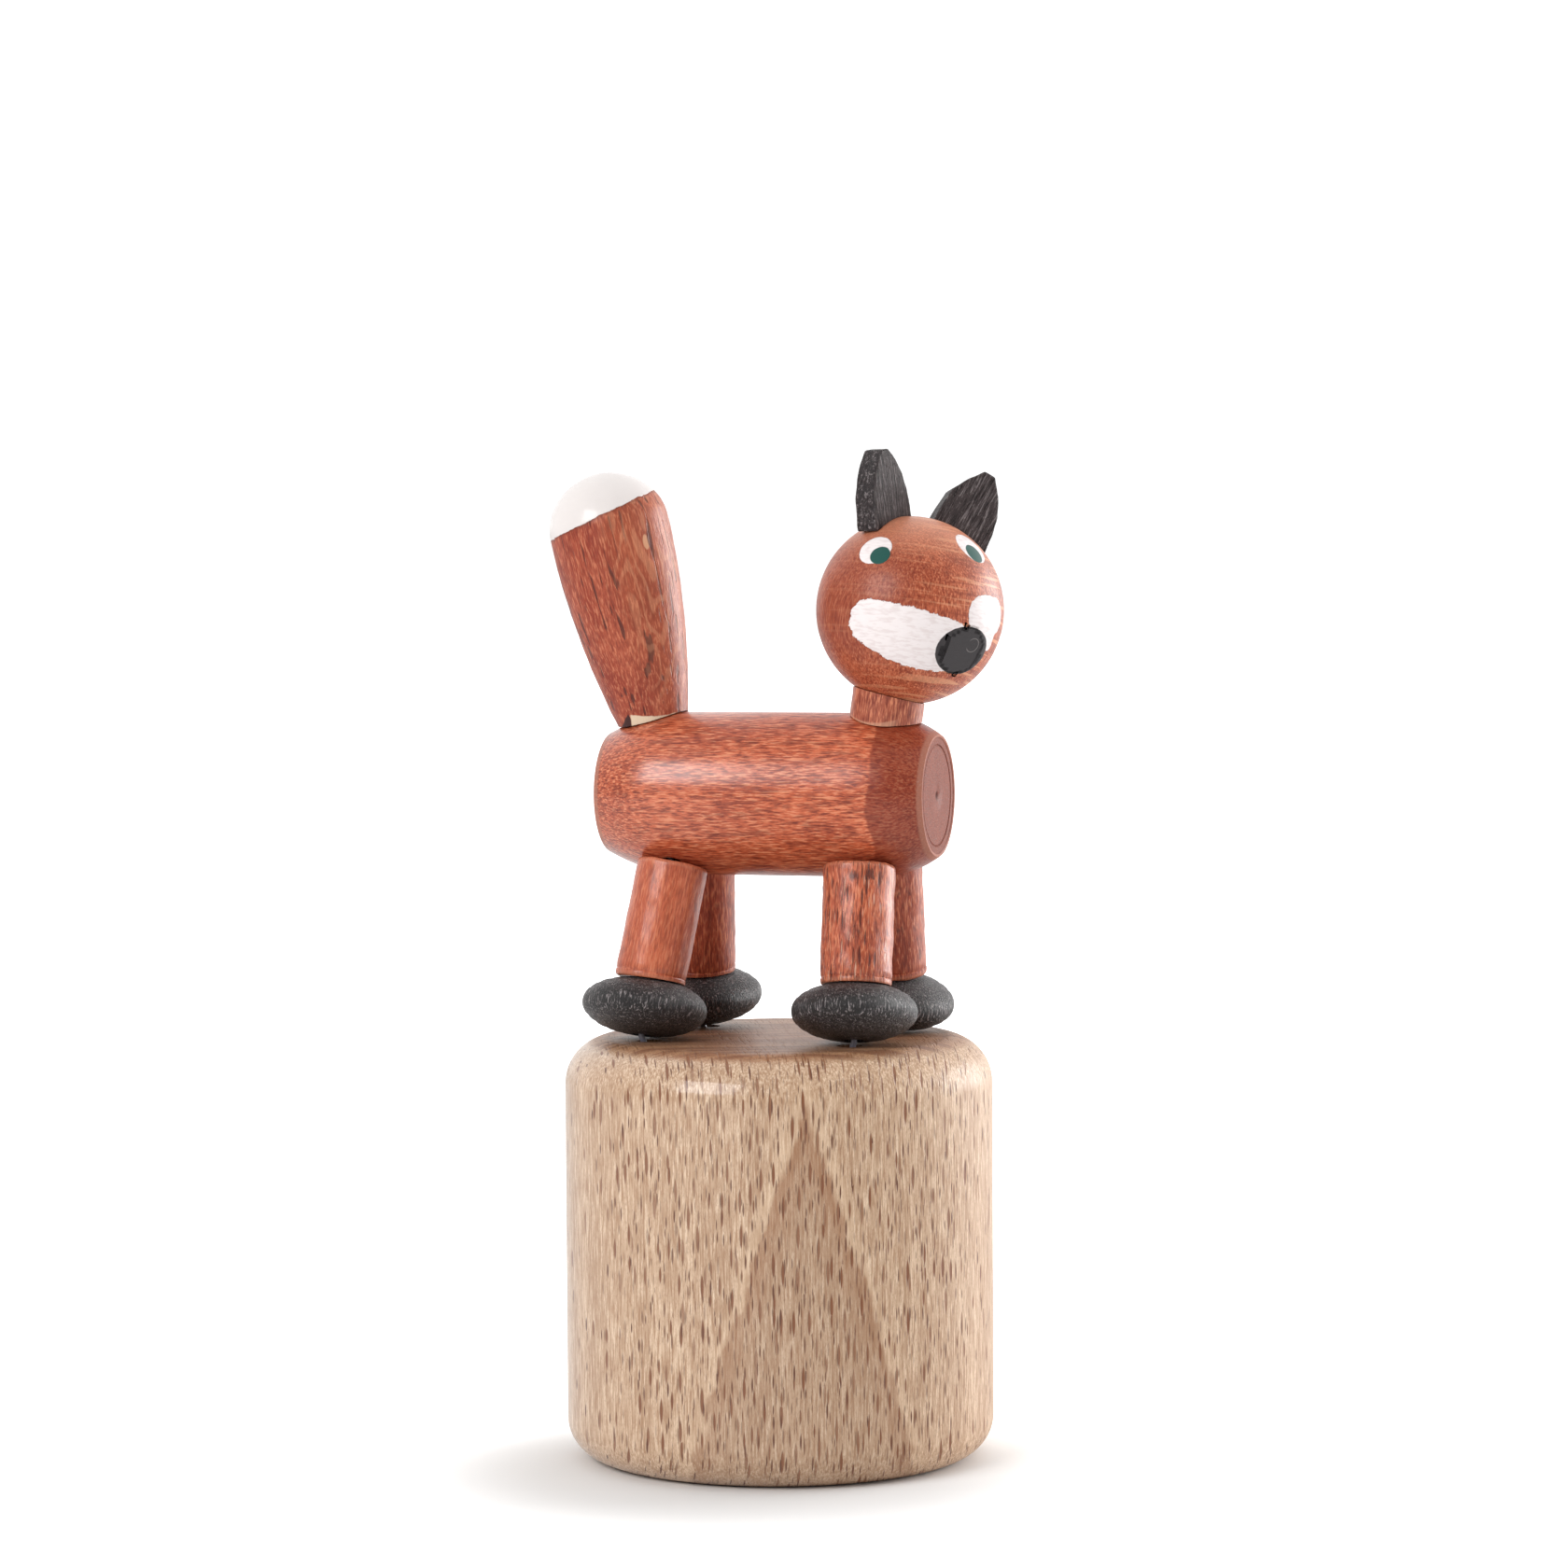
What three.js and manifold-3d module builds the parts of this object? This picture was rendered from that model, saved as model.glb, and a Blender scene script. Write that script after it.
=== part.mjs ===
// A push-button wooden fox: a figure of strung beads that stands on a hollow turned base.
// Four threads run from the button under the base, through feet, legs and body, to the head and the tail.
// A spring keeps the threads tight. Millimetres, +Z up, origin under the base, +X towards the fox's head.

import * as THREE from "three";
import { mergeVertices } from "three/addons/utils/BufferGeometryUtils.js";
import Module from "manifold-3d";

const wasm = await Module();
wasm.setup();

// Clearances between pieces
const BEAD_GAP = 0.25; // between strung beads that rock on each other
const GLUE_GAP = 0.08; // between an ear and the head it is glued to
const BUTTON_CLEARANCE = 0.3; // between the button's rim and the bore
const SPRING_CLEARANCE = 0.3; // between the spring's ends and what they press on
const PEG_CLEARANCE = 0.1; // between a thread peg and its socket

// Base: a turned beech cylinder, bored from below
const BASE_RADIUS = 18;
const BASE_HEIGHT = 35.5;
const BASE_TOP_ROUND = 3.9;
const BASE_FOOT_ROUND = 3.5;
const CHAMBER_RADIUS = 12.8;
const BASE_ROOF = 6;
const MOUTH_CHAMFER = 0.4;
const THREAD_HOLE_RADIUS = 1.1;
const HOLE_PULL_IN = 0.7; // how much nearer the axis a thread hole lies than the foot over it

// Button in the underside, with a spigot for the spring
const BUTTON_THICKNESS = 5;
const BUTTON_RECESS = 1.5;
const BUTTON_EDGE_ROUND = 0.6;
const SPIGOT_RADIUS = 5;
const SPIGOT_HEIGHT = 2;
const BUTTON_HOLE_RADIUS = 0.7;
const PEG_RADIUS = 1;
const PEG_LENGTH = 3;
const PEG_RECESS = 0.4;
const PEG_PULL_IN = 2.2; // how much nearer the axis a peg lies than the foot over it

// Return spring
const SPRING_RADIUS = 6.1;
const SPRING_WIRE_RADIUS = 0.4;
const SPRING_TURNS = 7;
const SPRING_STEPS_PER_TURN = 10;
const SPRING_SIDES = 5;

// Thread
const THREAD_RADIUS = 0.25;
const THREAD_PAIR_SPACING = 0.8; // between the two threads that share the neck or the tail
const THREAD_SIDES = 6;
const THREAD_STEP = 1.6;
const THREAD_TURN_IN = 1; // how far inside a bore a thread changes its direction

// Feet: flattened round beads
const FOOT_RADIUS = 5.24;
const FOOT_HALF_HEIGHT = 2.3;
const FOOT_BORE = 0.8;

// Legs: short dowels
const LEG_RADIUS = 2.98;
const LEG_LENGTH = 9.4;
const LEG_EDGE_ROUND = 0.35;
const LEG_BORE = 0.8;

// Where each foot stands and how its leg leans: x and y of the foot's centre, then the slope of the leg
// forwards and inwards, then the slope of the foot, all in degrees
const LEGS = {
  front_right: { x: 8.6, y: -6.4, lean: -1, splay: 12, footLean: 2, footSplay: 12 },
  front_left: { x: 8.2, y: 6.4, lean: 0.5, splay: 10, footLean: 12, footSplay: 14 },
  rear_right: { x: -9.7, y: -6.4, lean: 8.5, splay: 12, footLean: 8, footSplay: 13 },
  rear_left: { x: -9, y: 6.4, lean: 4, splay: 12, footLean: -9, footSplay: 17 },
};

// Body: a turned barrel that lies along X
const BODY_RADIUS = 6.87;
const BODY_FRONT_X = 14.1;
const BODY_REAR_X = -15.05;
const BODY_AXIS_Z = BASE_HEIGHT + 20.37; // a foot and a leg above the base
const BODY_FRONT_FACE_RADIUS = 5.1;
const BODY_FRONT_TAPER = 4.6; // how far behind its front face the body starts to draw in
const BODY_FRONT_BULGE = 0.5; // how far the drawn-in stretch stands out over a straight chamfer
const BODY_REAR_FACE_RADIUS = 5.1;
const BODY_REAR_TAPER = 5;
const BODY_REAR_BULGE = 0.3;
const BODY_BORE = 1;
const BODY_JUNCTION_DROP = 1; // how far under the body's axis the slanting leg bores meet

// Neck: a short bead, hollowed below to the body and above to the head
const NECK_RADIUS = 3.03;
const NECK_X = 9.6;
const NECK_Y = -0.5;
const NECK_LEAN = 7;
const NECK_SINK = 1.6; // how far the uncut bead reaches under the top of the body
const NECK_LENGTH = 4.6;
const NECK_BORE = 0.95;

// Head: a ball with a flat filed for the nose
const HEAD_RADIUS = 7.82;
const HEAD_X = 11.7;
const HEAD_Z = BODY_AXIS_Z + 15.43;
const HEAD_TURN = -30.3;
const HEAD_ROLL = -10;
const NOSE_PITCH = 26;
const NOSE_FLAT_RADIUS = 2.1;
const HEAD_BORE_DEPTH = 9;

// Ears: flat wedges with a pointed arch outline
const EAR_WIDTH = 5.25;
const EAR_THICKNESS = 2;
const EAR_HEIGHT = 6.5;
const EAR_TIP_WIDTH = 0.9;
const EAR_TIP_THICKNESS = 1.8;
const EAR_STRAIGHT = 1; // height before the outline draws in
const EAR_SINK = 0.55;
const EAR_ROWS = 12;
// Where each ear stands on the ball, in degrees from the crown sideways and forwards, how it is turned,
// and how far its tip leans to its left
const EARS = {
  right: { side: -1, spread: 27, forward: -6, tilt: 18, lean: 0, toeIn: 11, tipAside: 0 },
  left: { side: 1, spread: 28.5, forward: 5, tilt: 23, lean: 3, toeIn: 25, tipAside: -0.5 },
};

// Tail: a turned club
const TAIL_X = -10.7;
const TAIL_LEAN = 13.3;
const TAIL_SINK = 1.7;
const TAIL_LENGTH = 22.4;
const TAIL_RADIUS = 5.1;
const TAIL_END_RADIUS = 2.75;
const TAIL_WIDEST_AT = 17.6; // from the lower end
const TAIL_BORE = 0.9;
const TAIL_BORE_DEPTH = 12;

// Facets of the round pieces
const BASE_SEGMENTS = 56;
const BODY_SEGMENTS = 40;
const HEAD_SEGMENTS = 36;
const BEAD_SEGMENTS = 28;
const DRILL_SEGMENTS = 12;
const ROUND_STEPS = 5;

const MATERIALS = {
  beech: new THREE.MeshStandardMaterial({ color: 0xd2b290, roughness: 0.6, metalness: 0 }),
  stained: new THREE.MeshStandardMaterial({ color: 0xa9532f, roughness: 0.4, metalness: 0 }),
  black: new THREE.MeshStandardMaterial({ color: 0x2d2726, roughness: 0.5, metalness: 0 }),
  nylon: new THREE.MeshStandardMaterial({ color: 0x6f6a78, roughness: 0.35, metalness: 0 }),
  steel: new THREE.MeshStandardMaterial({ color: 0xb9bcc0, roughness: 0.3, metalness: 1 }),
};

const UP = new THREE.Vector3(0, 0, 1);
const radians = THREE.MathUtils.degToRad;

// Solids

// A closed triangle mesh as a solid that can be cut and joined.
function solidOf(geometry) {
  const bare = geometry.clone();
  bare.deleteAttribute("normal");
  bare.deleteAttribute("uv");
  const merged = mergeVertices(bare, 1e-4);
  return new wasm.Manifold(new wasm.Mesh({
    numProp: 3,
    vertProperties: new Float32Array(merged.attributes.position.array),
    triVerts: new Uint32Array(merged.index.array),
  }));
}

function geometryOf(solid) {
  const mesh = solid.getMesh();
  const geometry = new THREE.BufferGeometry();
  geometry.setAttribute("position", new THREE.BufferAttribute(mesh.vertProperties, 3));
  geometry.setIndex(new THREE.BufferAttribute(mesh.triVerts, 1));
  geometry.computeVertexNormals();
  return geometry;
}

// Cuts tools, given in the part's frame, from a geometry that stands at a placement.
function cutAway(geometry, placement, tools) {
  const inverse = placement.clone().invert();
  let solid = solidOf(geometry);
  for (const tool of tools) {
    solid = solid.subtract(solidOf(tool.clone().applyMatrix4(inverse)));
  }
  return geometryOf(solid);
}

// A turned shape: its outline is drawn as (radius, height) from the bottom up the outside.
function turned(outline, segments) {
  return new THREE.LatheGeometry(outline, segments).rotateX(Math.PI / 2);
}

// Points of a round from one angle to another, in degrees, about a centre in the outline's plane.
function roundOff(radius, height, size, from, to, steps = ROUND_STEPS) {
  return Array.from({ length: steps + 1 }, (_, i) => {
    const angle = radians(from + ((to - from) * i) / steps);
    return new THREE.Vector2(radius + size * Math.cos(angle), height + size * Math.sin(angle));
  });
}

// The outline of a bored dowel with softened edges, closed on itself.
function dowelOutline(radius, bore, length, edge) {
  const outline = [
    new THREE.Vector2(bore, 0),
    ...roundOff(radius - edge, edge, edge, -90, 0, 3),
    ...roundOff(radius - edge, length - edge, edge, 0, 90, 3),
    new THREE.Vector2(bore, length),
  ];
  return [...outline, outline[0].clone()];
}

// A drill from one point to another.
function drill(from, to, radius) {
  const length = from.distanceTo(to);
  const direction = to.clone().sub(from).normalize();
  const turn = new THREE.Quaternion().setFromUnitVectors(UP, direction);
  return new THREE.CylinderGeometry(radius, radius, length, DRILL_SEGMENTS)
    .rotateX(Math.PI / 2)
    .translate(0, 0, length / 2)
    .applyQuaternion(turn)
    .translate(from.x, from.y, from.z);
}

function placementAt(origin, axis) {
  const turn = new THREE.Quaternion().setFromUnitVectors(UP, axis);
  return new THREE.Matrix4().compose(origin, turn, new THREE.Vector3(1, 1, 1));
}

function meshAt(name, geometry, material, placement) {
  const mesh = new THREE.Mesh(geometry, material);
  mesh.name = name;
  mesh.applyMatrix4(placement);
  return mesh;
}

// The direction of an axis that slopes forwards by one angle and sideways by another.
function slope(forwards, sideways) {
  return new THREE.Vector3(Math.tan(radians(forwards)), Math.tan(radians(sideways)), 1).normalize();
}

// How far a flattened bead reaches from its centre along a direction, seen from its own axis.
function footReach(axis, direction) {
  const along = axis.dot(direction);
  const across = Math.sqrt(Math.max(0, 1 - along * along));
  return Math.hypot(FOOT_HALF_HEIGHT * along, FOOT_RADIUS * across);
}

// Places that several pieces share

const legPlaces = Object.entries(LEGS).map(([corner, set]) => {
  const inward = -Math.sign(set.y);
  const legAxis = slope(set.lean, inward * set.splay);
  const footAxis = slope(set.footLean, inward * set.footSplay);
  const footCentre = new THREE.Vector3(set.x, set.y, BASE_HEIGHT + BEAD_GAP + footReach(footAxis, UP));
  const legBottom = footCentre.clone().addScaledVector(legAxis, footReach(footAxis, legAxis) + BEAD_GAP);
  const legTop = legBottom.clone().addScaledVector(legAxis, LEG_LENGTH);
  const footBottom = footCentre.clone().addScaledVector(footAxis, -FOOT_HALF_HEIGHT);
  const footTop = footCentre.clone().addScaledVector(footAxis, FOOT_HALF_HEIGHT);
  const spread = Math.hypot(footBottom.x, footBottom.y);
  const pulledIn = (distance, z) => {
    const share = (spread - distance) / spread;
    return new THREE.Vector3(footBottom.x * share, footBottom.y * share, z);
  };
  return {
    corner,
    side: Math.sign(set.y),
    legAxis,
    footAxis,
    footCentre,
    footBottom,
    footTop,
    legBottom,
    legTop,
    holeAt: (z) => pulledIn(HOLE_PULL_IN, z),
    pegAt: (z) => pulledIn(PEG_PULL_IN, z),
    isFront: corner.startsWith("front"),
  };
});

const bodyTop = BODY_AXIS_Z + BODY_RADIUS;
const neckAxis = slope(NECK_LEAN, 0);
const neckBottom = new THREE.Vector3(NECK_X, NECK_Y, bodyTop - NECK_SINK);
const neckTop = neckBottom.clone().addScaledVector(neckAxis, NECK_LENGTH - NECK_SINK);
const headCentre = new THREE.Vector3(HEAD_X, 0, HEAD_Z);
const tailAxis = slope(-TAIL_LEAN, 0);
const tailBottom = new THREE.Vector3(TAIL_X, 0, bodyTop - TAIL_SINK);
const frontJunction = new THREE.Vector3(NECK_X, 0, BODY_AXIS_Z - BODY_JUNCTION_DROP);
const rearJunction = new THREE.Vector3(TAIL_X, 0, BODY_AXIS_Z - BODY_JUNCTION_DROP);
const chamberTop = BASE_HEIGHT - BASE_ROOF;
const buttonTop = BUTTON_RECESS + BUTTON_THICKNESS;

// The body stands on its rear end in its own frame, and lies along X in the part.
const bodyPlacement = new THREE.Matrix4()
  .makeTranslation(BODY_REAR_X, 0, BODY_AXIS_Z)
  .multiply(new THREE.Matrix4().makeRotationY(Math.PI / 2));

// The body's outline, grown on every side by a clearance. Each end draws in to a flat face.
function bodyOutline(clearance) {
  const length = BODY_FRONT_X - BODY_REAR_X;
  const radius = BODY_RADIUS + clearance;
  const drawnIn = (faceRadius, taper, bulge) => {
    const start = new THREE.Vector2(radius, taper - clearance);
    const end = new THREE.Vector2(faceRadius + clearance, -clearance);
    const middle = start.clone().lerp(end, 0.5).add(new THREE.Vector2(bulge, -bulge));
    return new THREE.QuadraticBezierCurve(start, middle, end).getPoints(8);
  };
  const rear = drawnIn(BODY_REAR_FACE_RADIUS, BODY_REAR_TAPER, BODY_REAR_BULGE).reverse();
  const front = drawnIn(BODY_FRONT_FACE_RADIUS, BODY_FRONT_TAPER, BODY_FRONT_BULGE)
    .map(({ x, y }) => new THREE.Vector2(x, length - y));
  return [new THREE.Vector2(0, -clearance), ...rear, ...front, new THREE.Vector2(0, length + clearance)];
}

// Space that strung beads keep clear of the body and of the head.
const bodyClearance = turned(bodyOutline(BEAD_GAP), 2 * BODY_SEGMENTS).applyMatrix4(bodyPlacement);

function headBall(clearance) {
  return new THREE.SphereGeometry(HEAD_RADIUS + clearance, HEAD_SEGMENTS, HEAD_SEGMENTS / 2);
}

// Pieces

function makeBase() {
  const innerEdge = CHAMBER_RADIUS + MOUTH_CHAMFER;
  const outline = [
    new THREE.Vector2(0, chamberTop),
    new THREE.Vector2(CHAMBER_RADIUS, chamberTop),
    new THREE.Vector2(CHAMBER_RADIUS, MOUTH_CHAMFER),
    new THREE.Vector2(innerEdge, 0),
    ...roundOff(BASE_RADIUS - BASE_FOOT_ROUND, BASE_FOOT_ROUND, BASE_FOOT_ROUND, -90, 0, 6),
    ...roundOff(BASE_RADIUS - BASE_TOP_ROUND, BASE_HEIGHT - BASE_TOP_ROUND, BASE_TOP_ROUND, 0, 90, 7),
    new THREE.Vector2(0, BASE_HEIGHT),
  ];
  const holes = legPlaces.map(({ holeAt }) => (
    drill(holeAt(chamberTop - THREAD_TURN_IN), holeAt(BASE_HEIGHT + 1), THREAD_HOLE_RADIUS)
  ));
  const still = new THREE.Matrix4();
  return meshAt("base", cutAway(turned(outline, BASE_SEGMENTS), still, holes), MATERIALS.beech, still);
}

// The button, and the wooden pegs that lock the threads' lower ends in it.
function makeButton() {
  const group = new THREE.Group();
  const radius = CHAMBER_RADIUS - BUTTON_CLEARANCE;
  const outline = [
    new THREE.Vector2(0, BUTTON_RECESS),
    ...roundOff(radius - BUTTON_EDGE_ROUND, BUTTON_RECESS + BUTTON_EDGE_ROUND, BUTTON_EDGE_ROUND, -90, 0, 3),
    new THREE.Vector2(radius, buttonTop),
    new THREE.Vector2(SPIGOT_RADIUS, buttonTop),
    new THREE.Vector2(SPIGOT_RADIUS, buttonTop + SPIGOT_HEIGHT),
    new THREE.Vector2(0, buttonTop + SPIGOT_HEIGHT),
  ];
  const pegBottom = BUTTON_RECESS + PEG_RECESS;
  const socketTop = pegBottom + PEG_LENGTH + PEG_CLEARANCE;
  const holes = legPlaces.flatMap(({ pegAt }) => [
    drill(pegAt(BUTTON_RECESS - 1), pegAt(buttonTop + THREAD_TURN_IN), BUTTON_HOLE_RADIUS),
    drill(pegAt(BUTTON_RECESS - 1), pegAt(socketTop), PEG_RADIUS + PEG_CLEARANCE),
  ]);
  const still = new THREE.Matrix4();
  const disc = cutAway(turned(outline, BASE_SEGMENTS), still, holes);
  group.add(meshAt("push_button", disc, MATERIALS.beech, still));
  for (const { corner, pegAt } of legPlaces) {
    const peg = new THREE.CylinderGeometry(PEG_RADIUS, PEG_RADIUS, PEG_LENGTH, DRILL_SEGMENTS);
    peg.rotateX(Math.PI / 2).translate(0, 0, PEG_LENGTH / 2);
    group.add(meshAt(`thread_peg_${corner}`, peg, MATERIALS.beech, placementAt(pegAt(pegBottom), UP)));
  }
  return group;
}

// The return spring, one open helix between the button and the chamber's roof.
function makeSpring() {
  const low = buttonTop + SPRING_CLEARANCE + SPRING_WIRE_RADIUS;
  const high = chamberTop - SPRING_CLEARANCE - SPRING_WIRE_RADIUS;
  const steps = SPRING_TURNS * SPRING_STEPS_PER_TURN;
  const rings = Array.from({ length: steps + 1 }, (_, i) => {
    const angle = (2 * Math.PI * i) / SPRING_STEPS_PER_TURN;
    const outwards = new THREE.Vector3(Math.cos(angle), Math.sin(angle), 0);
    const centre = outwards.clone().multiplyScalar(SPRING_RADIUS);
    centre.z = low + ((high - low) * i) / steps;
    return Array.from({ length: SPRING_SIDES }, (_, k) => {
      const around = (2 * Math.PI * k) / SPRING_SIDES;
      return centre.clone()
        .addScaledVector(outwards, SPRING_WIRE_RADIUS * Math.cos(around))
        .addScaledVector(UP, SPRING_WIRE_RADIUS * Math.sin(around));
    });
  });
  const pitch = (high - low) / SPRING_TURNS;
  console.log(`spring: least gap between turns ${(pitch - 2 * SPRING_WIRE_RADIUS).toFixed(2)} mm`);
  return meshAt("return_spring", skinOver(rings), MATERIALS.steel, new THREE.Matrix4());
}

// A closed skin over rings of points that follow each other, with flat ends.
function skinOver(rings) {
  const sides = rings[0].length;
  const points = rings.flat();
  const faces = [];
  for (let i = 0; i + 1 < rings.length; i++) {
    for (let k = 0; k < sides; k++) {
      const a = i * sides + k;
      const b = i * sides + ((k + 1) % sides);
      faces.push(a, b, b + sides, a, b + sides, a + sides);
    }
  }
  const last = (rings.length - 1) * sides;
  for (let k = 1; k + 1 < sides; k++) {
    faces.push(0, k + 1, k);
    faces.push(last, last + k, last + k + 1);
  }
  const geometry = new THREE.BufferGeometry().setFromPoints(points);
  geometry.setIndex(faces);
  geometry.computeVertexNormals();
  const solid = solidOf(geometry);
  if (solid.volume() > 0) return geometry;
  geometry.setIndex(faces.reverse());
  geometry.computeVertexNormals();
  return geometry;
}

function makeFoot({ corner, footCentre, footAxis }) {
  const start = Math.acos(FOOT_BORE / FOOT_RADIUS) * THREE.MathUtils.RAD2DEG;
  const steps = 12;
  const outline = Array.from({ length: steps + 1 }, (_, i) => {
    const angle = radians(-start + (2 * start * i) / steps);
    return new THREE.Vector2(FOOT_RADIUS * Math.cos(angle), FOOT_HALF_HEIGHT * Math.sin(angle));
  });
  outline.push(outline[0].clone());
  const placement = placementAt(footCentre, footAxis);
  return meshAt(`foot_${corner}`, turned(outline, BEAD_SEGMENTS), MATERIALS.black, placement);
}

function makeLeg({ corner, legBottom, legAxis }) {
  const dowel = turned(dowelOutline(LEG_RADIUS, LEG_BORE, LEG_LENGTH, LEG_EDGE_ROUND), BEAD_SEGMENTS);
  const placement = placementAt(legBottom, legAxis);
  return meshAt(`leg_${corner}`, cutAway(dowel, placement, [bodyClearance]), MATERIALS.stained, placement);
}

function makeBody() {
  const legBores = legPlaces.map(({ legTop, legAxis, isFront }) => {
    const mouth = legTop.clone().addScaledVector(legAxis, -BODY_RADIUS / 2);
    const junction = isFront ? frontJunction : rearJunction;
    const past = junction.clone().lerp(legTop, -1.4 * BODY_BORE / junction.distanceTo(legTop));
    return [drill(mouth, legTop, BODY_BORE), drill(legTop, past, BODY_BORE)];
  });
  const upright = [
    drill(frontJunction, neckBottom.clone().addScaledVector(neckAxis, 2 * NECK_SINK), BODY_BORE),
    drill(rearJunction, tailBottom.clone().addScaledVector(tailAxis, 2 * TAIL_SINK), BODY_BORE),
  ];
  const drills = [...legBores.flat(), ...upright];
  const barrel = cutAway(turned(bodyOutline(0), BODY_SEGMENTS), bodyPlacement, drills);
  return meshAt("body", barrel, MATERIALS.stained, bodyPlacement);
}

function makeNeck() {
  const bead = turned(dowelOutline(NECK_RADIUS, NECK_BORE, NECK_LENGTH, LEG_EDGE_ROUND), BEAD_SEGMENTS);
  const placement = placementAt(neckBottom, neckAxis);
  const ball = headBall(BEAD_GAP).translate(HEAD_X, 0, HEAD_Z);
  return meshAt("neck", cutAway(bead, placement, [bodyClearance, ball]), MATERIALS.stained, placement);
}

// An ear stands on its origin, its width along Y and its front face towards +X.
function earGeometry(tipAside) {
  const rings = Array.from({ length: EAR_ROWS + 1 }, (_, i) => {
    const height = (EAR_HEIGHT * i) / EAR_ROWS;
    const drawnIn = Math.max(0, (height - EAR_STRAIGHT) / (EAR_HEIGHT - EAR_STRAIGHT)) ** 2.2;
    const halfWidth = THREE.MathUtils.lerp(EAR_WIDTH, EAR_TIP_WIDTH, drawnIn) / 2;
    const halfDepth = THREE.MathUtils.lerp(EAR_THICKNESS, EAR_TIP_THICKNESS, drawnIn) / 2;
    const corners = [[1, -1], [1, 1], [-1, 1], [-1, -1]];
    const aside = tipAside * drawnIn;
    return corners.map(([x, y]) => new THREE.Vector3(x * halfDepth, y * halfWidth + aside, height));
  });
  return skinOver(rings);
}

// The head with its two ears, turned and rolled together.
function makeHead() {
  const toHead = new THREE.Matrix4()
    .makeRotationZ(radians(HEAD_TURN))
    .multiply(new THREE.Matrix4().makeRotationX(radians(HEAD_ROLL)));
  const group = new THREE.Group();
  group.applyMatrix4(new THREE.Matrix4().makeTranslation(headCentre).multiply(toHead));

  const noseDirection = new THREE.Vector3(Math.cos(radians(NOSE_PITCH)), 0, -Math.sin(radians(NOSE_PITCH)));
  const flatDistance = Math.sqrt(HEAD_RADIUS ** 2 - NOSE_FLAT_RADIUS ** 2);
  const file = new THREE.BoxGeometry(HEAD_RADIUS, HEAD_RADIUS, HEAD_RADIUS)
    .translate(0, 0, flatDistance + HEAD_RADIUS / 2)
    .applyQuaternion(new THREE.Quaternion().setFromUnitVectors(UP, noseDirection));
  const boreAxis = headCentre.clone().sub(neckTop).transformDirection(toHead.clone().invert());
  const bore = drill(
    boreAxis.clone().multiplyScalar(-HEAD_RADIUS - 1),
    boreAxis.clone().multiplyScalar(HEAD_BORE_DEPTH - HEAD_RADIUS),
    NECK_BORE,
  );
  const still = new THREE.Matrix4();
  group.add(meshAt("head", cutAway(headBall(0), still, [file, bore]), MATERIALS.stained, still));

  const ball = headBall(GLUE_GAP);
  for (const [name, { side, spread, forward, tilt, lean, toeIn, tipAside }] of Object.entries(EARS)) {
    const foot = slope(forward, 0)
      .applyAxisAngle(new THREE.Vector3(1, 0, 0), -side * radians(spread))
      .multiplyScalar(HEAD_RADIUS - EAR_SINK);
    const placement = new THREE.Matrix4()
      .makeTranslation(foot)
      .multiply(new THREE.Matrix4().makeRotationX(-side * radians(tilt)))
      .multiply(new THREE.Matrix4().makeRotationY(radians(lean)))
      .multiply(new THREE.Matrix4().makeRotationZ(-side * radians(toeIn)));
    const ear = cutAway(earGeometry(tipAside), placement, [ball]);
    group.add(meshAt(`ear_${name}`, ear, MATERIALS.black, placement));
  }
  return group;
}

function makeTail() {
  const swell = TAIL_RADIUS - TAIL_END_RADIUS;
  const shaft = Array.from({ length: 9 }, (_, i) => {
    const height = (TAIL_WIDEST_AT * i) / 8;
    return new THREE.Vector2(TAIL_RADIUS - swell * (1 - height / TAIL_WIDEST_AT) ** 2, height);
  });
  const tip = Array.from({ length: 8 }, (_, i) => {
    const angle = (Math.PI / 2) * ((i + 1) / 8);
    const height = TAIL_WIDEST_AT + (TAIL_LENGTH - TAIL_WIDEST_AT) * Math.sin(angle);
    return new THREE.Vector2(TAIL_RADIUS * Math.cos(angle), height);
  });
  tip[7].x = 0;
  const outline = [new THREE.Vector2(0, 0), ...shaft, ...tip];
  const placement = placementAt(tailBottom, tailAxis);
  const bore = drill(
    tailBottom.clone().addScaledVector(tailAxis, -1),
    tailBottom.clone().addScaledVector(tailAxis, TAIL_BORE_DEPTH),
    TAIL_BORE,
  );
  const club = cutAway(turned(outline, BEAD_SEGMENTS), placement, [bodyClearance, bore]);
  return meshAt("tail", club, MATERIALS.stained, placement);
}

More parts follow.
